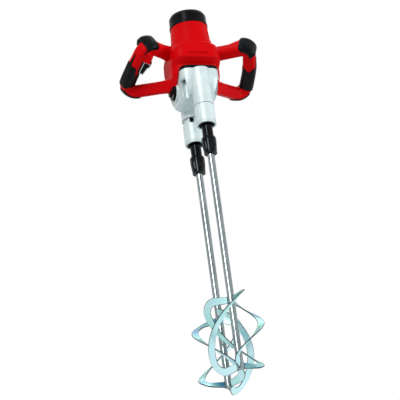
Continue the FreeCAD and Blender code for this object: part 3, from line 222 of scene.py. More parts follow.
materials = [
    mouldedFinish("redShell", (0.52, 0.001, 0.0025), (0.61, 0.0018, 0.004), (0.34, 0.46), 1500.0, 0.00006,
                  Specular_IOR_Level=0.035),
    mouldedFinish("blackShell", (0.002, 0.0025, 0.003), (0.005, 0.006, 0.007), (0.16, 0.28), 1400.0, 0.00008,
                  Specular_IOR_Level=0.06),
    softFinish("softBlack", (0.002, 0.0025, 0.003), (0.006, 0.007, 0.008), (0.22, 0.36),
               Specular_IOR_Level=0.06),
    castFinish("castAlloy", (0.52, 0.61, 0.61), (0.65, 0.74, 0.74), (0.36, 0.50), 0.20),
    # pale grey for the painted highlight lines along the trigger's edges
    mouldedFinish("paleEdge", (0.52, 0.54, 0.56), (0.66, 0.68, 0.70), (0.30, 0.40), 1400.0, 0.00004),
    # pale stops: painted sheen on one face; tinted stops and dark rim colour: painted shade
    stripFinish("tealStrip", [(0.34, (0.42, 0.79, 0.74)), (0.62, (0.63, 0.91, 0.96))],
                [(0.36, (0.13, 0.38, 0.31)), (0.48, (0.26, 0.50, 0.48)), (0.60, (0.04, 0.18, 0.31))],
                (0.02, 0.04, 0.05), (0.30, 0.42)),
    turnedFinish("brightSteel", (0.18, 0.22, 0.23), (0.30, 0.35, 0.36), (0.07, 0.13), 240.0, 0.03),
    turnedFinish("groundSteel", (0.42, 0.43, 0.45), (0.56, 0.57, 0.59), (0.22, 0.36), 700.0, 0.15),
    turnedFinish("darkSteel", (0.006, 0.007, 0.008), (0.015, 0.017, 0.019), (0.10, 0.18), 600.0, 0.06),
    turnedFinish("weldSteel", (0.02, 0.04, 0.05), (0.10, 0.16, 0.18), (0.30, 0.50), 300.0, 0.4),
    turnedFinish("copper", (0.45, 0.17, 0.06), (0.62, 0.27, 0.11), (0.25, 0.40), 1400.0, 0.5),
    turnedFinish("brass", (0.52, 0.36, 0.12), (0.66, 0.49, 0.20), (0.22, 0.35), 500.0, 0.15),
]
finishes = {material.name: material for material in materials}
finishOfSlot = {
    "red_shell": "redShell", "black_shell": "blackShell", "carbon": "blackShell", "soft_grip": "softBlack",
    "seal_rubber": "softBlack", "cast_alloy": "castAlloy", "bright_steel": "groundSteel",
    "ground_steel": "groundSteel", "dark_steel": "darkSteel", "copper_winding": "copper",
    "brass_holder": "brass",
}
finishOfNode = {
    "front_spindle": "darkSteel", "rear_spindle": "darkSteel", "front_stirrer_rod": "brightSteel",
    "rear_stirrer_rod": "brightSteel", "front_neck": "castAlloy", "rear_neck": "castAlloy",
}


def dress(thing, finish):
    slots = thing.data.materials
    slots.clear()
    slots.append(finishes[finish])


for part in frame["record"]["subparts"]:
    node = part["node"]
    dress(frame["nodes"][node], finishOfNode.get(node, finishOfSlot[part["material_slot"]]))
print("finishes on the CAD nodes: done")


# grids of points into meshes

def gridCells(rows, columns, closeRows):
    # corner numbers of each cell; columns always close on themselves, rows only where asked
    i, j = np.meshgrid(np.arange(rows if closeRows else rows - 1), np.arange(columns), indexing="ij")
    nextI, nextJ = (i + 1) % rows, (j + 1) % columns
    corners = ((i, j), (i, nextJ), (nextI, nextJ), (nextI, j))
    return np.stack([row * columns + column for row, column in corners], axis=-1).reshape(-1, 4)


def signedVolume(points, cells):
    # sum of a . (b x c + c x d) / 6 over the cells, positive where they face outward
    a, b, c, d = (points[cells[:, corner]] for corner in range(4))
    return (a * (np.cross(b, c) + np.cross(c, d))).sum() / 6


def makePiece(name, grids, body, finish, closeRows=False, marks=None, crease=50.0):
    # each grid is rows x columns x 3 in millimetres; open row ends get a lid
    points, faces, smooth, first = [], [], [], 0
    for grid in grids:
        rows, columns = grid.shape[:2]
        spots = grid.reshape(-1, 3) * mm
        cells = gridCells(rows, columns, closeRows)
        lids = [] if closeRows else [np.arange(columns)[::-1], (rows - 1) * columns + np.arange(columns)]
        if signedVolume(spots - spots.mean(axis=0), cells) < 0:
            cells = cells[:, ::-1]
            lids = [lid[::-1] for lid in lids]
        points.append(spots)
        faces += (cells + first).tolist() + [(lid + first).tolist() for lid in lids]
        smooth += [True] * len(cells) + [False] * len(lids)
        first += len(spots)
    mesh = bpy.data.meshes.new(name)
    mesh.from_pydata(np.concatenate(points).tolist(), [], faces)
    mesh.polygons.foreach_set("use_smooth", smooth)
    mesh.set_sharp_from_angle(angle=math.radians(crease))
    if marks is not None:
        layer = mesh.uv_layers.new(name="strip")
        corners = np.empty(len(mesh.loops), dtype=np.int32)
        mesh.loops.foreach_get("vertex_index", corners)
        layer.data.foreach_set("uv", np.concatenate(marks).reshape(-1, 2)[corners].ravel())
    mesh.materials.append(finishes[finish])
    piece = bpy.data.objects.new(name, mesh)
    scene.collection.objects.link(piece)
    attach(piece, body)
    return piece


def unit(vectors):
    return vectors / np.linalg.norm(vectors, axis=-1, keepdims=True)


def mirrored(grid):
    return grid * np.array([-1.0, 1.0, 1.0])


def xyz(x, y, z):
    # three coordinates, each a number or an array, as one array of points
    return np.stack(np.broadcast_arrays(x, y, z), axis=-1)


def fullTurn(count):
    return np.linspace(0, 2 * np.pi, count, endpoint=False)


# stirrer strips

stirrer = {"rodRadius": 8.8, "rodEnd": 662.0, "radius": 72.0, "width": 17.0, "thickness": 3.0,
           "height": 193.0, "twist": 178.0, "corner": 25.0, "count": 3, "frontAngle": -66.0, "weld": 0.6,
           "bead": 1.6, "ripple": 0.16, "rippleStep": 2.1, "beadSides": 10, "armSteps": 12, "bendSteps": 14,
           "riseSteps": 40}


def stadium(halfLength, radius, flat=8, turn=9):
    # long section with round ends: two straight sides and two half circles
    swing = np.linspace(-np.pi / 2, np.pi / 2, turn)
    side = np.linspace(1.0, -1.0, flat + 2)[1:-1] * halfLength
    end, rise, face = halfLength + radius * np.cos(swing), radius * np.sin(swing), 0 * side + radius
    return np.concatenate([end, side, -end, -side]), np.concatenate([rise, face, -rise, -face])


def stripPath(setting):
    # out along the lower arm, round a corner, up the ribbon, round the upper corner and back in
    corner = setting["corner"]
    inner, outer = setting["rodRadius"] - setting["weld"], setting["radius"] - setting["width"] / 2
    low, high = setting["width"] / 2, setting["height"] - setting["width"] / 2
    arm = np.linspace(inner, outer - corner, setting["armSteps"])[:-1]
    bend = np.linspace(0, np.pi / 2, setting["bendSteps"])
    rise = np.linspace(low + corner, high - corner, setting["riseSteps"])[1:-1]
    radius = np.concatenate([arm, outer - corner + corner * np.sin(bend), rise * 0 + outer,
                             outer - corner + corner * np.cos(bend), arm[::-1]])
    height = np.concatenate([arm * 0 + low, low + corner - corner * np.cos(bend), rise,
                             high - corner + corner * np.sin(bend), arm * 0 + high])
    slope = np.concatenate([arm * 0, bend, rise * 0 + np.pi / 2, np.pi / 2 + bend, arm * 0 + np.pi])
    return radius, height, slope


def stripGrid(setting, spindleY, topAngle, hand):
    # helicoid: x = r cos a, y = r sin a, where a grows evenly with the height; thickness along its normal
    radius, height, slope = (values[:, None] for values in stripPath(setting))
    across, lift = stadium((setting["width"] - setting["thickness"]) / 2, setting["thickness"] / 2)
    twist = hand * math.radians(setting["twist"]) / setting["height"]
    r = radius + across * np.sin(slope)
    h = height - across * np.cos(slope)
    a = math.radians(topAngle) + twist * (h - setting["height"])
    normal = unit(xyz(-np.sin(a), np.cos(a), -r * twist))
    middle = xyz(r * np.cos(a), spindleY + r * np.sin(a), h - setting["rodEnd"])
    # adds 2 on one face of each strip, the face that gets the painted shade; the other face keeps the painted
    # sheen
    share = np.linspace(0, 1, len(radius))[:, None] + 2 * (lift * hand < 0)
    mark = np.stack([share, 0.5 + 0 * share + across / setting["width"]], axis=-1)
    return middle + normal * lift[None, :, None], mark


def beadGrid(setting, spindleY, topAngle, hand, middle):
    # fillet weld: a rippled tube carried round the foot of the strip on the rod
    across, lift = stadium((setting["width"] - setting["thickness"]) / 2, setting["thickness"] / 2)
    twist = hand * math.radians(setting["twist"]) / setting["height"]
    h = middle + across
    a = math.radians(topAngle) + twist * (h - setting["height"]) + lift / setting["rodRadius"]
    radial = xyz(np.cos(a), np.sin(a), 0.0)
    centre = radial * setting["rodRadius"] + xyz(0.0, spindleY, h - setting["rodEnd"])
    ahead = unit(np.roll(centre, -1, axis=0) - np.roll(centre, 1, axis=0))
    aside = np.cross(ahead, radial)
    swing = fullTurn(setting["beadSides"])[None, :, None]
    ripple = setting["ripple"] * np.cos(np.arange(len(across)) * setting["rippleStep"])
    thick = setting["bead"] * (1 + ripple)[:, None, None]
    return centre[:, None] + thick * (np.cos(swing) * radial[:, None] + np.sin(swing) * aside[:, None])


for side, place, hand in (("front", -0.5, 1), ("rear", 0.5, -1)):
    spindleY = place * spindleSpacing
    firstAngle = stirrer["frontAngle"] if hand > 0 else 180 / stirrer["count"] - stirrer["frontAngle"]
    angles = [firstAngle + 360 * index / stirrer["count"] for index in range(stirrer["count"])]
    made = [stripGrid(stirrer, spindleY, angle, hand) for angle in angles]
    grids, marks = [grid for grid, mark in made], [mark.reshape(-1, 2) for grid, mark in made]
    strips = makePiece(side + "StirrerStrips", grids, side + "_spindle", "tealStrip",
                       marks=marks)
    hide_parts(side + "_stirrer_blades")
    feet = [stirrer["width"] / 2, stirrer["height"] - stirrer["width"] / 2]
    beads = [beadGrid(stirrer, spindleY, angle, hand, foot) for angle in angles for foot in feet]
    makePiece(side + "StirrerWelds", beads, side + "_spindle", "weldSteel", closeRows=True)
print("stirrer strips and welds: done")


# coupling sleeves

sleeve = {"low": -77.0, "high": -35.0, "bore": 14.35, "topBore": 16.5, "chamber": -51.5, "radius": 18.2,
          "endRadius": 16.0, "taper": 1.3, "flutes": 8, "fluteDepth": 1.5, "fluteLand": -0.2,
          "fluteStretch": 1.08, "fluteEase": 0.5, "notches": 4, "notchDepth": 1.6, "notchLand": 0.35,
          "notchEase": 0.5, "notchStart": 0.8, "crownDrops": (0.0, 0.6, 3.4, 4.2, 7.6, 8.4, 9.6, 10.4),
          "crownInsets": (1.2, 0.8, 0.2, 0.0, 0.0, 0.9, 0.9, 0.2), "bodyDrop": 11.5, "bodyRise": 2.0,
          "chamfer": 0.6, "boreChamfer": 0.8, "bodySteps": 24, "around": 96}


def sleeveGrid(setting, spindleY):
    # outer wall z, r(z) from top to bottom and back up the bore; flutes r - d cos(n t), notched lower rim
    low, high, wide, end = (setting[key] for key in ("low", "high", "radius", "endRadius"))
    bore, chamber, topBore = (setting[key] for key in ("bore", "chamber", "topBore"))
    chamfer, lead = setting["chamfer"], setting["boreChamfer"]
    drops, insets = np.array(setting["crownDrops"]), np.array(setting["crownInsets"])
    body = np.linspace(0.0, 1.0, setting["bodySteps"])
    bodyTop, bodyLow = high - setting["bodyDrop"], low + setting["bodyRise"]
    boreLevels = [low + chamfer, low, low, low + lead, chamber, chamber, high]
    boreRadii = [end - chamfer / 2, end - 1.5 * chamfer, bore + lead / 2, bore, bore, topBore, topBore]
    boreRim = np.array([1, 1, 1, 1, 0, 0, 0])
    z = np.concatenate([high - drops, bodyTop + (bodyLow - bodyTop) * body, boreLevels])
    r = np.concatenate([wide - insets, wide - (wide - end) * body ** setting["taper"], boreRadii])
    swell = np.sin(np.pi * np.clip(body * setting["fluteStretch"], 0, 1)) ** setting["fluteEase"]
    fluted = np.concatenate([0 * drops, swell, 0 * boreRim])
    start = setting["notchStart"]
    rim = np.concatenate([0 * drops, np.clip((body - start) / (1 - start), 0, 1), boreRim])
    turn = fullTurn(setting["around"])
    flute = np.clip(np.cos(setting["flutes"] * turn), setting["fluteLand"], 1) ** 2
    notch = np.clip(np.cos(setting["notches"] * turn) - setting["notchLand"], 0, 1) ** setting["notchEase"]
    reach = r[:, None] - fluted[:, None] * setting["fluteDepth"] * flute
    level = z[:, None] + rim[:, None] * setting["notchDepth"] * notch
    return xyz(reach * np.cos(turn), spindleY + reach * np.sin(turn), level)


for side, place in (("front", -0.5), ("rear", 0.5)):
    piece = makePiece(side + "FlutedSleeve", [sleeveGrid(sleeve, place * spindleSpacing)], side + "_sleeve",
                      "darkSteel", closeRows=True, crease=34.0)
    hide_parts(side + "_coupling_sleeve")
print("coupling sleeves: done")


# handle loops: straight runs and corner arcs with a frame that turns with the arcs

loop = {"points": [(54.0, -4.0, 222.0), (133.0, -64.0, 213.0), (148.0, -1.0, 185.0), (156.0, 86.0, 159.0),
                   (55.0, 15.0, 143.0)],
        "radii": [17.2, 150.0, 20.0], "halfWidth": 15.6, "halfHeight": 15.0, "round": 9.0, "gap": 0.3}


def rotated(vector, axis, angles):
    # Rodrigues: v cos t + (k x v) sin t + k (k . v)(1 - cos t)
    t = angles[:, None]
    return vector * np.cos(t) + np.cross(axis, vector) * np.sin(t) + axis * (axis @ vector) * (1 - np.cos(t))


def loopRuns(setting):
    # straight runs and arcs in turn: each corner's arc starts radius / tan(opening / 2) before the corner
    points = [np.array(point) for point in setting["points"]]
    lift = unit(np.cross(points[1] - points[0], points[2] - points[1]))
    runs, last, begin = [], points[0], 0.0
    for index, radius in enumerate(setting["radii"]):
        corner = points[index + 1]
        inward, onward = unit(points[index] - corner), unit(points[index + 2] - corner)
        opening = math.acos(inward @ onward)
        start = corner + inward * radius / math.tan(opening / 2)
        heading, turn = -inward, math.pi - opening
        axis = unit(np.cross(heading, onward))
        runs.append({"begin": begin, "length": np.linalg.norm(start - last), "spot": last, "heading": heading,
                     "lift": lift, "turn": 0.0})
        begin += runs[-1]["length"]
        runs.append({"begin": begin, "length": turn * radius, "spot": start, "heading": heading, "lift": lift,
                     "turn": turn, "axis": axis, "centre": start + np.cross(axis, heading) * radius})
        begin += runs[-1]["length"]
        lift = rotated(lift, axis, np.array([turn]))[0]
        last = corner + onward * radius / math.tan(opening / 2)
    runs.append({"begin": begin, "length": np.linalg.norm(points[-1] - last), "spot": last,
                 "heading": unit(points[-1] - last), "lift": lift, "turn": 0.0})
    return runs


loopRun = loopRuns(loop)


def loopFrames(distances):
    # spot, outward and lift at each distance along the loop
    flat = distances.ravel()
    spot, heading, lift = (np.zeros((len(flat), 3)) for _ in range(3))
    for run in loopRun:
        before = -math.inf if run is loopRun[0] else run["begin"]
        after = math.inf if run is loopRun[-1] else run["begin"] + run["length"]
        inside = (flat >= before) & (flat <= after)
        along = flat[inside] - run["begin"]
        if run["turn"]:
            angle = run["turn"] * along / run["length"]
            spot[inside] = run["centre"] + rotated(run["spot"] - run["centre"], run["axis"], angle)
            heading[inside] = rotated(run["heading"], run["axis"], angle)
            lift[inside] = rotated(run["lift"], run["axis"], angle)
        else:
            spot[inside] = run["spot"] + run["heading"] * along[:, None]
            heading[inside], lift[inside] = run["heading"], run["lift"]
    shape = distances.shape + (3,)
    return spot.reshape(shape), np.cross(heading, lift).reshape(shape), lift.reshape(shape)


def onLoop(distance, across, rise):
    # a point of the loop's section: its spot + outward across + lift rise
    spot, out, lift = loopFrames(distance)
    return spot + out * across[..., None] + lift * rise[..., None]


def arcPoints(across, rise, radius, start, end, count):
    # arc about (across, rise): + radius (cos t, sin t)
    turn = np.radians(np.linspace(start, end, count))
    return np.stack([across + radius * np.cos(turn), rise + radius * np.sin(turn)], axis=-1)


def sectionArcs(radius, count):
    # the four round corners of the loop's section
    return [arcPoints(x * wide, y * tall, radius, start, start + 90, count)
            for x, y, start in ((1, 1, 0), (-1, 1, 90), (-1, -1, 180), (1, -1, 270))]


padEdge = {"least": 0.04, "power": 0.35}


def pillow(inner, outer, start, end, rows, ends, sides):
    # moulded pad: inner + (outer - inner) f(s) g(v), where f and g fall off in a round edge at its borders
    s = np.linspace(0, 1, rows)[:, None]
    v = np.linspace(0, 1, len(inner))[None, :]
    f = (1 - np.abs(2 * s - 1) ** ends) ** padEdge["power"]
    g = (1 - np.abs(2 * v - 1) ** sides) ** padEdge["power"]
    share = (padEdge["least"] + (1 - padEdge["least"]) * f * g)[..., None]
    skin = inner[None] + (outer - inner)[None] * share
    closed = np.concatenate([skin, np.repeat(inner[None, ::-1], rows, axis=0)], axis=1)
    border = [np.concatenate([edge, edge[::-1]]) for edge in (start, end)]
    distance = border[0] + (border[1] - border[0]) * s
    return onLoop(distance, closed[..., 0], closed[..., 1])


wide, tall = loop["halfWidth"] - loop["round"], loop["halfHeight"] - loop["round"]
under = loop["round"] + loop["gap"]
cornerStart, cornerEnd = loopRun[1]["begin"], loopRun[2]["begin"]
bowStart, bowEnd = loopRun[3]["begin"], loopRun[4]["begin"]
elbowStart, elbowEnd = loopRun[5]["begin"], loopRun[6]["begin"]

bumper = {"thickness": 3.0, "horn": 13.0, "reach": 1.0, "lead": 5.0, "tail": 1.5, "slant": 10.0,
          "startSlant": 12.0, "endSlant": 16.0, "slants": {"left": 1.0, "right": 0.35}, "rows": 48,
          "ends": 9.0, "sides": 18.0}


def bumperGrid(setting, side):
    # pad over the front corner, from its horn on top round the outer side, with borders slanted on that side
    over, high = loop["round"] + setting["thickness"], tall + setting["horn"]
    near = wide + under * math.sin(math.pi / 4) - loop["round"]
    inner = np.concatenate([arcPoints(-wide, tall, under, 135, 90, 20),
                            arcPoints(wide, tall, under, 90, 0, 20),
                            arcPoints(wide, -tall, under, 0, -90, 16),
                            [(setting["reach"], -tall - under)]])
    outer = np.concatenate([arcPoints(-near, high + setting["thickness"], loop["round"], 180, 90, 20),
                            arcPoints(wide, high, over, 90, 0, 20), arcPoints(wide, -tall, over, 0, -90, 16),
                            [(setting["reach"], -tall - over)]])
    outside = setting["slants"][side] * np.clip(inner[:, 0] / setting["slant"], 0, 1)
    start = cornerStart + setting["lead"] - setting["startSlant"] * outside
    end = cornerEnd + setting["tail"] - setting["endSlant"] * outside
    return pillow(inner, outer, start, end, setting["rows"], setting["ends"], setting["sides"])


pad = {"thickness": 2.6, "top": 75.0, "bottom": -38.0, "lead": 12.0, "tail": 4.0, "rows": 48, "ends": 8.0,
       "sides": 8.0}


def padGrid(setting):
    # pad over the outer side of the rear corner
    over = loop["round"] + setting["thickness"]
    inner, outer = (np.concatenate([arcPoints(wide, tall, radius, setting["top"], 0, 24),
                                    arcPoints(wide, -tall, radius, 0, setting["bottom"], 16)])
                    for radius in (under, over))
    start = elbowStart + setting["lead"] + 0 * inner[:, 0]
    end = start + elbowEnd - elbowStart + setting["tail"] - setting["lead"]
    return pillow(inner, outer, start, end, setting["rows"], setting["ends"], setting["sides"])


grip = {"thickness": 1.8, "lead": 28.0, "tongueHalf": 11.0, "tongueLength": 12.0, "stripHalf": 2.6,
        "stripEase": 3.0, "stripGap": 1.8, "fingerCut": 4.0, "fingerStart": 12.0, "fingerEase": 6.0,
        "triggerLead": 8.0, "outerLead": 16.0, "tail": 5.0, "edge": 2.0, "edgeLeast": 0.12, "ribPitch": 3.4,
        "ribHeight": 0.35, "ribFade": 2.0, "ribLead": 6.0, "ribTail": 8.0, "rows": 150, "quarter": 18,
        "flat": 8}


def gripGrid(setting, trigger):
    # band round the section: its front border has a tongue below and a strip outside, its back cross ribs
    ring = sectionArcs(under, setting["quarter"])
    fill = np.linspace(0, 1, setting["flat"])[1:-1, None]
    sides = []
    for index, arc in enumerate(ring):
        ahead = ring[(index + 1) % 4][0]
        sides += [arc, arc[-1] + (ahead - arc[-1]) * fill]
    inner = np.concatenate(sides)
    normal = unit(inner - np.clip(inner, [-wide, -tall], [wide, tall]))
    across, rise = inner[:, 0], inner[:, 1]
    tongue = np.clip(1 - np.abs(across) / setting["tongueHalf"], 0, 1) * (rise < -tall)
    stripe = np.clip((setting["stripHalf"] - np.abs(rise)) / setting["stripEase"] + 0.5, 0, 1) * (across > 0)
    finger = np.clip((-across - rise - setting["fingerStart"]) / setting["fingerEase"], 0, 1)
    besideTrigger = setting["triggerLead"] + setting["outerLead"] * np.clip(across / wide, 0, 1)
    front = bowEnd - (besideTrigger if trigger else setting["lead"])
    front = front + np.maximum(tongue * setting["tongueLength"], finger * setting["fingerCut"] * trigger)
    front = front - stripe * (front - cornerEnd - bumper["tail"] - setting["stripGap"])
    s = np.linspace(0, 1, setting["rows"])[:, None]
    end = elbowStart + setting["tail"]
    distance = front[None] + (end - front[None]) * s
    edge = np.clip(np.minimum(distance - front[None], end - distance) / setting["edge"], 0, 1)
    least = setting["edgeLeast"]
    swell = setting["thickness"] * (least + (1 - least) * np.sqrt(1 - (1 - edge) ** 2))
    ribbed = np.clip((normal[:, 0] + normal[:, 1]) * setting["ribFade"], 0, 1)
    ribbed = ribbed * (distance > bowEnd + setting["ribLead"]) * (distance < end - setting["ribTail"])
    ribs = np.clip(np.cos(2 * np.pi * distance / setting["ribPitch"]), 0, 1)
    swell = swell + setting["ribHeight"] * ribbed * ribs
    skin = inner[None] + normal[None] * (swell - loop["gap"])[..., None]
    outside = onLoop(distance, skin[..., 0], skin[..., 1])
    inside = onLoop(distance, inner[None, :, 0] + 0 * s, inner[None, :, 1] + 0 * s)
    return np.concatenate([outside, inside[::-1]], axis=0)


for side in ("right", "left"):
    flip = mirrored if side == "left" else (lambda grid: grid)
    covers = (("CornerBumper", bumperGrid(bumper, side), "_front_bumper", False),
              ("ElbowPad", padGrid(pad), "_rear_bumper", False),
              ("GripCover", gripGrid(grip, side == "left"), "_grip", True))
    for name, grid, node, closed in covers:
        piece = makePiece(side + name, [flip(grid)], "housing", "softBlack", closeRows=closed)
        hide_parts(side + node)
print("handle covers: done")


# yoke: stacked rounded outlines, open below for the gear housing, with four arm stubs

yoke = {"level": 152.0, "wall": 3.2, "archHalf": 50.6, "archRise": 2.0, "archAt": -2.0, "archEase": 2.0,
        "knobY": 6.0, "knobDrop": 30.5, "knobRound": 22.2, "ventCount": 9, "ventPitch": 5.7, "ventWidth": 2.6,
        "ventHeight": 5.6, "ventRise": 42.0, "ventDepth": 2.6, "ventEase": 0.5, "ventFront": -60.0,
        "beltMargin": 1.5, "armFlare": 0.24, "flarePower": 1.5, "armLength": 30.0, "armRoot": 16.0,
        "rows": (56, 30, 50), "columns": (130, 18, 24, 40), "armRows": 24, "armQuarter": 12,
        "steps": 400, "easeSteps": 17,
        # rise, half width, front, rear, corner radius
        "outlines": [(-26.0, 57.5, -20.0, 44.0, 18.0), (-13.0, 60.0, -36.0, 52.0, 24.0),
                     (-2.0, 61.0, -48.0, 57.0, 28.0), (20.0, 61.5, -49.0, 58.0, 29.0),
                     (33.0, 62.0, -66.0, 58.0, 30.0), (52.0, 62.0, -68.2, 54.0, 30.0),
                     (60.0, 61.0, -68.2, 51.5, 32.0), (70.5, 58.2, -67.6, 46.5, 36.0),
                     (75.0, 50.6, -67.5, 41.0, 47.0), (90.0, 50.0, -67.3, 32.7, 49.0)]}


def yokeColumns(setting):
    # once round a rounded rectangle: share of the half width, share of the depth, direction of the corner
    frontCount, sideCount, cornerCount, backCount = setting["columns"]
    front, back = np.linspace(-1, 1, frontCount), np.linspace(1, -1, backCount)[1:-1]
    side, corner = np.linspace(0, 1, sideCount)[1:-1], np.linspace(0, np.pi / 2, cornerCount)[1:]
    right, full = np.ones_like(side), np.ones_like(corner)
    across = np.concatenate([front, full, right, full, back, -full, -right, -full])
    deep = np.concatenate([0 * front, 0 * full, side, full, 0 * back + 1, full, 1 - side, 0 * full])
    turn = np.concatenate([0 * front, corner, 0 * side + np.pi / 2, np.pi / 2 + corner, 0 * back + np.pi,
                           np.pi + corner, 0 * side + 1.5 * np.pi, 1.5 * np.pi + corner])
    return across, deep, turn - np.pi / 2


def yokeWall(setting, rise, inset):
    # outlines blended over the rise, with each step between them eased by a short window
    table = np.array(setting["outlines"])
    fine = np.linspace(table[0, 0], table[-1, 0], setting["steps"])
    window = np.hanning(setting["easeSteps"])
    window, margin = window / window.sum(), len(window) // 2
    columns = [np.pad(np.interp(fine, table[:, 0], column), margin, mode="edge") for column in table.T[1:]]
    eased = [np.convolve(column, window, "valid") for column in columns]
    half, front, rear, corner = (np.interp(rise, fine, values) for values in eased)
    across, deep, turn = yokeColumns(setting)
    x = across * (half - corner) + (corner - inset) * np.cos(turn)
    y = front + corner + deep * (rear - front - 2 * corner) + (corner - inset) * np.sin(turn)
    return x, y


def ramp(distance, ease):
    # 0..1 across a border, over the width of its ease
    return np.clip(distance / ease + 0.5, 0, 1)


def yokeGrid(setting):
    # outer and inner wall over the rise, from an arched lower rim; the vents are sunk into the front wall
    deep = yokeColumns(setting)[1]
    x, y = yokeWall(setting, 0 * deep + setting["archAt"], 0.0)
    bottom, top = setting["outlines"][0][0], setting["outlines"][-1][0]
    arch = ramp(setting["archHalf"] - np.abs(x), setting["archEase"])
    low = bottom + (setting["archRise"] - bottom) * arch
    scoop = np.sqrt(np.clip(setting["knobRound"] ** 2 - (y - setting["knobY"]) ** 2, 0, None))
    low = np.where(x < -setting["archHalf"], np.maximum(low, scoop - setting["knobDrop"]), low)
    middle, halfVent = setting["ventRise"], setting["ventHeight"] / 2
    belt = halfVent + setting["beltMargin"]
    below, within, above = (np.linspace(0, 1, count)[:, None] for count in setting["rows"])
    rise = np.concatenate([low + (middle - belt - low) * below,
                           middle + belt * (2 * within[1:] - 1) + 0 * low,
                           middle + belt + (top - middle - belt) * above[1:] + 0 * low])
    x, y = yokeWall(setting, rise, 0.0)
    place = x / setting["ventPitch"] + setting["ventCount"] / 2
    beside = np.abs(place - np.floor(place) - 0.5) * setting["ventPitch"]
    inFront = (place > 0) & (place < setting["ventCount"]) & (y < setting["ventFront"]) & (deep == 0)
    slot = ramp(setting["ventWidth"] / 2 - beside, setting["ventEase"])
    slot = slot * ramp(halfVent - np.abs(rise - middle), setting["ventEase"]) * inFront
    outside = xyz(x, y + slot * setting["ventDepth"], rise + setting["level"])
    x, y = yokeWall(setting, rise, setting["wall"])
    inside = xyz(x, y, rise + setting["level"])
    return np.concatenate([outside, inside[::-1]], axis=0)


def armGrid(setting, start, end):
    # rounded section along the loop, wider at its root in the yoke
    section = np.concatenate(sectionArcs(loop["round"], setting["armQuarter"]))
    s = np.linspace(0, 1, setting["armRows"])[:, None]
    size = 1 + setting["armFlare"] * (1 - s) ** setting["flarePower"]
    distance = np.repeat(start + (end - start) * s, len(section), axis=1)
    return onLoop(distance, section[:, 0] * size, section[:, 1] * size)


yokeBody = makePiece("yokeBody", [yokeGrid(yoke)], "housing", "redShell", closeRows=True,
                     crease=40.0)
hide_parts("yoke")
loopEnd = loopRun[-1]["begin"] + loopRun[-1]["length"]
stubs = [armGrid(yoke, -yoke["armRoot"], yoke["armLength"]),
         armGrid(yoke, loopEnd + yoke["armRoot"], loopEnd - yoke["armLength"])]
makePiece("yokeArms", stubs + [mirrored(grid) for grid in stubs], "housing", "redShell")
print("yoke: done")


# small raised details: bars with rounded ends, half sunk in what carries them

def barGrid(start, end, outward, halfWidth, height, rows=40, columns=16, tip=0.02, least=1e-4):
    # p = start + (end - start) u + f(u) (w cos v side + h sin v out), with f falling to nothing at both ends
    start, end, outward = np.array(start), np.array(end), unit(np.array(outward))
    ahead = unit(end - start)
    side = np.cross(ahead, outward)
    u = (0.5 - 0.5 * np.cos(np.linspace(tip, np.pi - tip, rows)))[:, None, None]
    v = fullTurn(columns)[None, :, None]
    taper = np.linalg.norm(end - start) / halfWidth / 2
    f = np.sqrt(np.clip(1 - np.clip(np.abs(2 * u - 1) * taper - taper + 1, 0, 1) ** 2, least, 1))
    return start + (end - start) * u + f * (halfWidth * np.cos(v) * side + height * np.sin(v) * outward)


motorTube = {"topRadius": 45.6, "lowRadius": 50.0, "top": 284.0, "low": 221.0, "halfWidth": 1.8,
             "height": 1.6, "angles": (-38.0, -142.0, 38.0, 142.0)}


def tubeBars(setting):
    # bars down the flanks of the tapered motor tube
    bars = []
    for angle in np.radians(setting["angles"]):
        out = np.array([math.cos(angle), math.sin(angle), 0.0])
        centre = np.array([0.0, motorY, 0.0])
        ends = [centre + out * setting[radius] + np.array([0.0, 0.0, setting[level]])
                for radius, level in (("topRadius", "top"), ("lowRadius", "low"))]
        bars.append(barGrid(*ends, out, setting["halfWidth"], setting["height"]))
    return bars


makePiece("motorTubeBars", tubeBars(motorTube), "housing", "redShell")


def ringAngles(setting):
    # angles round a ring, as rows, and round its section, as columns
    return fullTurn(setting["around"])[:, None], fullTurn(setting["section"])[None, :]


def flattened(wave, power=0.5):
    # |w|^p with the sign of w, which squares off a round section
    return np.sign(wave) * np.abs(wave) ** power


capLip = {"radius": 46.0, "low": 285.2, "width": 6.5, "swell": 1.0, "around": 120, "section": 28}


def lipGrid(setting):
    # ring with a flattened round section: r + a |cos v|^p, z + b |sin v|^p
    turn, v = ringAngles(setting)
    reach = setting["radius"] + setting["swell"] * flattened(np.cos(v))
    level = setting["low"] + setting["width"] / 2 * (1 + flattened(np.sin(v)))
    return xyz(reach * np.cos(turn), motorY + reach * np.sin(turn), level)


makePiece("capLip", [lipGrid(capLip)], "housing", "blackShell", closeRows=True)
print("motor details: done")


# webs that draft the casting's flange into its body, left open round the four screws

# flange and body: left, right, front, rear, corner radius
web = {"flange": (-48.0, 48.0, -66.0, 70.0, 20.0), "body": (-46.0, 42.0, -44.0, 46.0, 16.0), "low": 88.0,
       "high": 151.0, "screwX": 36.0, "screwY": 40.0, "seat": 135.5, "channel": 6.3, "wall": 1.5,
       "proud": 0.3, "sunk": 1.5, "draft": 3, "rows": 60, "columns": 540}


def reachOf(box, turn, farthest=200.0, halvings=24):
    # distance from the origin to a rounded rectangle along each direction, found by halving the range
    left, right, front, rear, corner = box
    near, far = 0 * turn, 0 * turn + farthest
    for _ in range(halvings):
        middle = (near + far) / 2
        x, y = middle * np.cos(turn), middle * np.sin(turn)
        dx = np.abs(x - (left + right) / 2) - (right - left) / 2 + corner
        dy = np.abs(y - (front + rear) / 2) - (rear - front) / 2 + corner
        outside = np.hypot(np.maximum(dx, 0), np.maximum(dy, 0)) + np.minimum(np.maximum(dx, dy), 0) > corner
        near, far = np.where(outside, near, middle), np.where(outside, middle, far)
    return near


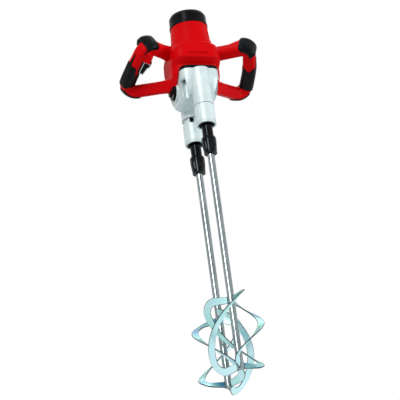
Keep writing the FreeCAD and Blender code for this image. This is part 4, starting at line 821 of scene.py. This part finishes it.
def webGrid(setting):
    # body + (flange - body)(1 - (1 - t)^n) over the height, cut back to a half round channel at each screw
    turn = fullTurn(setting["columns"])
    t = np.linspace(0, 1, setting["rows"])[:, None]
    flange = reachOf(setting["flange"], turn) + setting["proud"]
    body = reachOf(setting["body"], turn) - setting["sunk"]
    reach = body + (flange - body) * (1 - (1 - t) ** setting["draft"])
    level = setting["low"] + (setting["high"] - setting["low"]) * t
    for x, y in ((1, 1), (1, -1), (-1, 1), (-1, -1)):
        x, y = x * setting["screwX"], y * setting["screwY"]
        ahead, aside = x * np.cos(turn) + y * np.sin(turn), y * np.cos(turn) - x * np.sin(turn)
        depth = ahead - np.sqrt(np.clip(setting["channel"] ** 2 - aside ** 2, 0, None))
        cleared = (np.abs(aside) < setting["channel"]) & (ahead > 0) & (level < setting["seat"])
        reach = np.where(cleared, np.minimum(reach, depth), reach)
    outside, inside = (xyz(r * np.cos(turn), r * np.sin(turn), level)
                       for r in (reach, reach - setting["wall"]))
    return np.concatenate([outside, inside[::-1]], axis=0)


makePiece("castingWebs", [webGrid(web)], "housing", "castAlloy", closeRows=True, crease=60.0)

# black rubber lip made tall enough to darken the band under the yoke's brow: part seal, part painted shadow
seal = {"height": 9.0, "level": 152.2, "inset": 6.0, "proud": 0.4, "around": 240, "section": 24}


def sealAndShadowGrid(setting):
    # black lip on the flange's edge, part rubber seal and part painted shadow under the yoke's brow: its
    # outline carried round a flattened section, r |cos v|^p, z |sin v|^p
    turn, v = ringAngles(setting)
    half = (setting["inset"] + setting["proud"]) / 2
    reach = reachOf(web["flange"], turn) + setting["proud"] - half + half * flattened(np.cos(v))
    level = setting["level"] + setting["height"] / 2 * (1 + flattened(np.sin(v)))
    return xyz(reach * np.cos(turn), reach * np.sin(turn), level)


makePiece("flangeSeal", [sealAndShadowGrid(seal)], "housing", "softBlack", closeRows=True)

seam = {"radius": 24.3, "tube": 0.45, "frontLevel": 53.0, "rearLevel": 67.0, "around": 120, "section": 12}


def seamGrid(setting, side, level):
    # torus: (R + r cos v) round the spindle, r sin v in height
    turn, v = ringAngles(setting)
    reach = setting["radius"] + setting["tube"] * np.cos(v)
    return xyz(reach * np.cos(turn), side * spindleSpacing / 2 + reach * np.sin(turn),
               level + setting["tube"] * np.sin(v))


seams = [seamGrid(seam, -1, seam["frontLevel"]), seamGrid(seam, 1, seam["rearLevel"])]
makePiece("neckSeams", seams, "housing", "darkSteel", closeRows=True)

collar = {"x": -50.6, "y": 6.0, "level": 121.5, "radius": 23.2, "width": 1.6, "depth": 1.4, "around": 96,
          "section": 16}


def collarGrid(setting):
    # ring round the selector knob: flattened torus about the X axis
    turn, v = ringAngles(setting)
    reach = setting["radius"] + setting["width"] * np.cos(v)
    return xyz(setting["x"] + setting["depth"] * np.sin(v), setting["y"] + reach * np.cos(turn),
               setting["level"] + reach * np.sin(turn))


makePiece("knobCollar", [collarGrid(collar)], "housing", "castAlloy", closeRows=True)
print("casting details: done")


# pale raised lines round both flanks of the trigger, a painted highlight along its edges

triggerEdge = {"tilt": 44.0, "half": 9.0, "width": 0.95, "height": 0.35, "rows": 16, "columns": 12,
               # outline of a flank, as distance along the grip and reach from its axis
               "line": [(16.8, 17.0), (16.8, 26.4), (-3.6, 29.7), (-8.8, 33.2), (-16.8, 33.2), (-16.8, 17.0)]}


def edgeBars(setting):
    # a bar along each side of the outline, on both flanks, in a tilted frame at the start of the left bow
    spot, outward, lift = (mirrored(vectors[0]) for vectors in loopFrames(np.array([bowStart])))
    tilt, heading = math.radians(setting["tilt"]), np.cross(outward, lift)
    inward = -outward * math.cos(tilt) - lift * math.sin(tilt)
    bars = []
    for flank in (np.cross(heading, inward), np.cross(inward, heading)):
        rail = [spot + heading * along + inward * reach + flank * setting["half"]
                for along, reach in setting["line"]]
        bars += [barGrid(start, end, flank, setting["width"], setting["height"], setting["rows"],
                         setting["columns"]) for start, end in zip(rail, rail[1:] + rail[:1])]
    return bars


# painted highlight: pale lines where the trigger's edges catch the light
makePiece("triggerEdges", edgeBars(triggerEdge), "trigger", "paleEdge")
print("trigger details: done")


# camera at the viewing angle of the picture

shot = {"azimuth": -19.3, "elevation": -26.6, "roll": 7.9, "distance": 20.0,
        "target": (0.0003, 0.0738, -0.1392), "frameWidth": 0.976, "sensor": 36.0, "clipEnd": 200.0}


def makeCamera(shot):
    # right, up and back axes from azimuth, elevation and a roll about the line of sight
    a, e, turn = (math.radians(shot[key]) for key in ("azimuth", "elevation", "roll"))
    toCamera = Vector((math.sin(a) * math.cos(e), -math.cos(a) * math.cos(e), math.sin(e)))
    levelRight = Vector((math.cos(a), math.sin(a), 0.0))
    levelUp = toCamera.cross(levelRight)
    imageRight = levelRight * math.cos(turn) - levelUp * math.sin(turn)
    imageUp = levelRight * math.sin(turn) + levelUp * math.cos(turn)
    spot = Vector(shot["target"]) + toCamera * shot["distance"]
    camera = bpy.data.objects.new("camera", bpy.data.cameras.new("camera"))
    camera.matrix_world = Matrix((imageRight, imageUp, toCamera)).transposed().to_4x4()
    camera.location = spot
    camera.data.sensor_width = shot["sensor"]
    camera.data.lens = shot["sensor"] * shot["distance"] / shot["frameWidth"]
    camera.data.clip_end = shot["clipEnd"]
    scene.collection.objects.link(camera)
    scene.camera = camera


makeCamera(shot)


# floor, world and lamps; the floor lies below the camera, which looks up

floorSetting = {"level": -10.5, "half": 6.0, "dark": (0.90, 0.90, 0.90), "light": (0.93, 0.93, 0.93),
                "drift": 0.5, "lift": 0.38}


def seenRays(tree):
    # one for the rays of the lens, of polished metal and of clear things, nothing for the light that falls
    path = addNode(tree, "ShaderNodeLightPath")
    direct = addNode(tree, "ShaderNodeMath", operation="ADD")
    tree.links.new(path.outputs["Is Camera Ray"], direct.inputs[0])
    tree.links.new(path.outputs["Is Glossy Ray"], direct.inputs[1])
    either = addNode(tree, "ShaderNodeMath", operation="ADD", use_clamp=True)
    tree.links.new(direct.outputs[0], either.inputs[0])
    tree.links.new(path.outputs["Is Transmission Ray"], either.inputs[1])
    return either.outputs[0]


def makeFloor(setting):
    # lifted to white where it is seen, and still lit and shaded by the lamps
    half, level = setting["half"], setting["level"]
    mesh = bpy.data.meshes.new("floor")
    corners = [(-half, -half, level), (half, -half, level), (half, half, level), (-half, half, level)]
    mesh.from_pydata(corners, [], [(0, 1, 2, 3)])
    floor = bpy.data.objects.new("floor", mesh)
    scene.collection.objects.link(floor)
    material, tree, bsdf, place = startFinish("paleFloor", Roughness=0.8)
    tint = blend(tree, noise(tree, place, setting["drift"]), setting["dark"], setting["light"])
    tree.links.new(tint, bsdf.inputs["Base Color"])
    bsdf.inputs["Emission Color"].default_value = (1.0, 1.0, 1.0, 1.0)
    tree.links.new(spread(tree, seenRays(tree), 0.0, setting["lift"]), bsdf.inputs["Emission Strength"])
    mesh.materials.append(material)


makeFloor(floorSetting)

worldSetting = {"fill": 0.71, "fillColour": (0.93, 0.97, 1.0)}


def makeWorld(setting):
    # white for what the lens and the polished metal see, a softer level for the light that falls
    world = bpy.data.worlds.new("studio")
    world.use_nodes = True
    tree = world.node_tree
    out = tree.nodes["World Output"]
    seen = tree.nodes["Background"]
    seen.inputs["Color"].default_value = (1.0, 1.0, 1.0, 1.0)
    seen.inputs["Strength"].default_value = 1.0
    fill = {"Color": (*setting["fillColour"], 1.0), "Strength": setting["fill"]}
    lit = addNode(tree, "ShaderNodeBackground", fill)
    mix = addNode(tree, "ShaderNodeMixShader")
    tree.links.new(seenRays(tree), mix.inputs["Fac"])
    tree.links.new(lit.outputs[0], mix.inputs[1])
    tree.links.new(seen.outputs[0], mix.inputs[2])
    tree.links.new(mix.outputs[0], out.inputs["Surface"])
    scene.world = world


makeWorld(worldSetting)

lampTable = {
    "keyLamp": {"spot": (-2.3, -3.1, 1.5), "aim": (0.0, 0.0, 0.05), "size": (1.0, 1.5), "power": 80.0,
                "colour": (1.0, 0.98, 0.96)},
    "fillLamp": {"spot": (3.2, -1.7, -0.4), "aim": (0.0, 0.0, -0.1), "size": (0.6, 2.4), "power": 58.0,
                 "colour": (0.95, 0.98, 1.0)},
    "topLamp": {"spot": (0.6, 1.0, 3.2), "aim": (0.0, 0.0, 0.1), "size": (1.6, 1.2), "power": 30.0,
                "colour": (1.0, 1.0, 1.0)},
}


def makeLamps(table):
    # soft rectangles turned to what they are aimed at
    for name, lamp in table.items():
        light = bpy.data.lights.new(name, "AREA")
        light.shape = "RECTANGLE"
        light.size, light.size_y = lamp["size"]
        light.energy = lamp["power"]
        light.color = lamp["colour"]
        body = bpy.data.objects.new(name, light)
        body.location = lamp["spot"]
        body.rotation_mode = "QUATERNION"
        body.rotation_quaternion = (Vector(lamp["aim"]) - Vector(lamp["spot"])).to_track_quat("-Z", "Y")
        scene.collection.objects.link(body)


makeLamps(lampTable)
print("camera, floor, world and lamps: done")
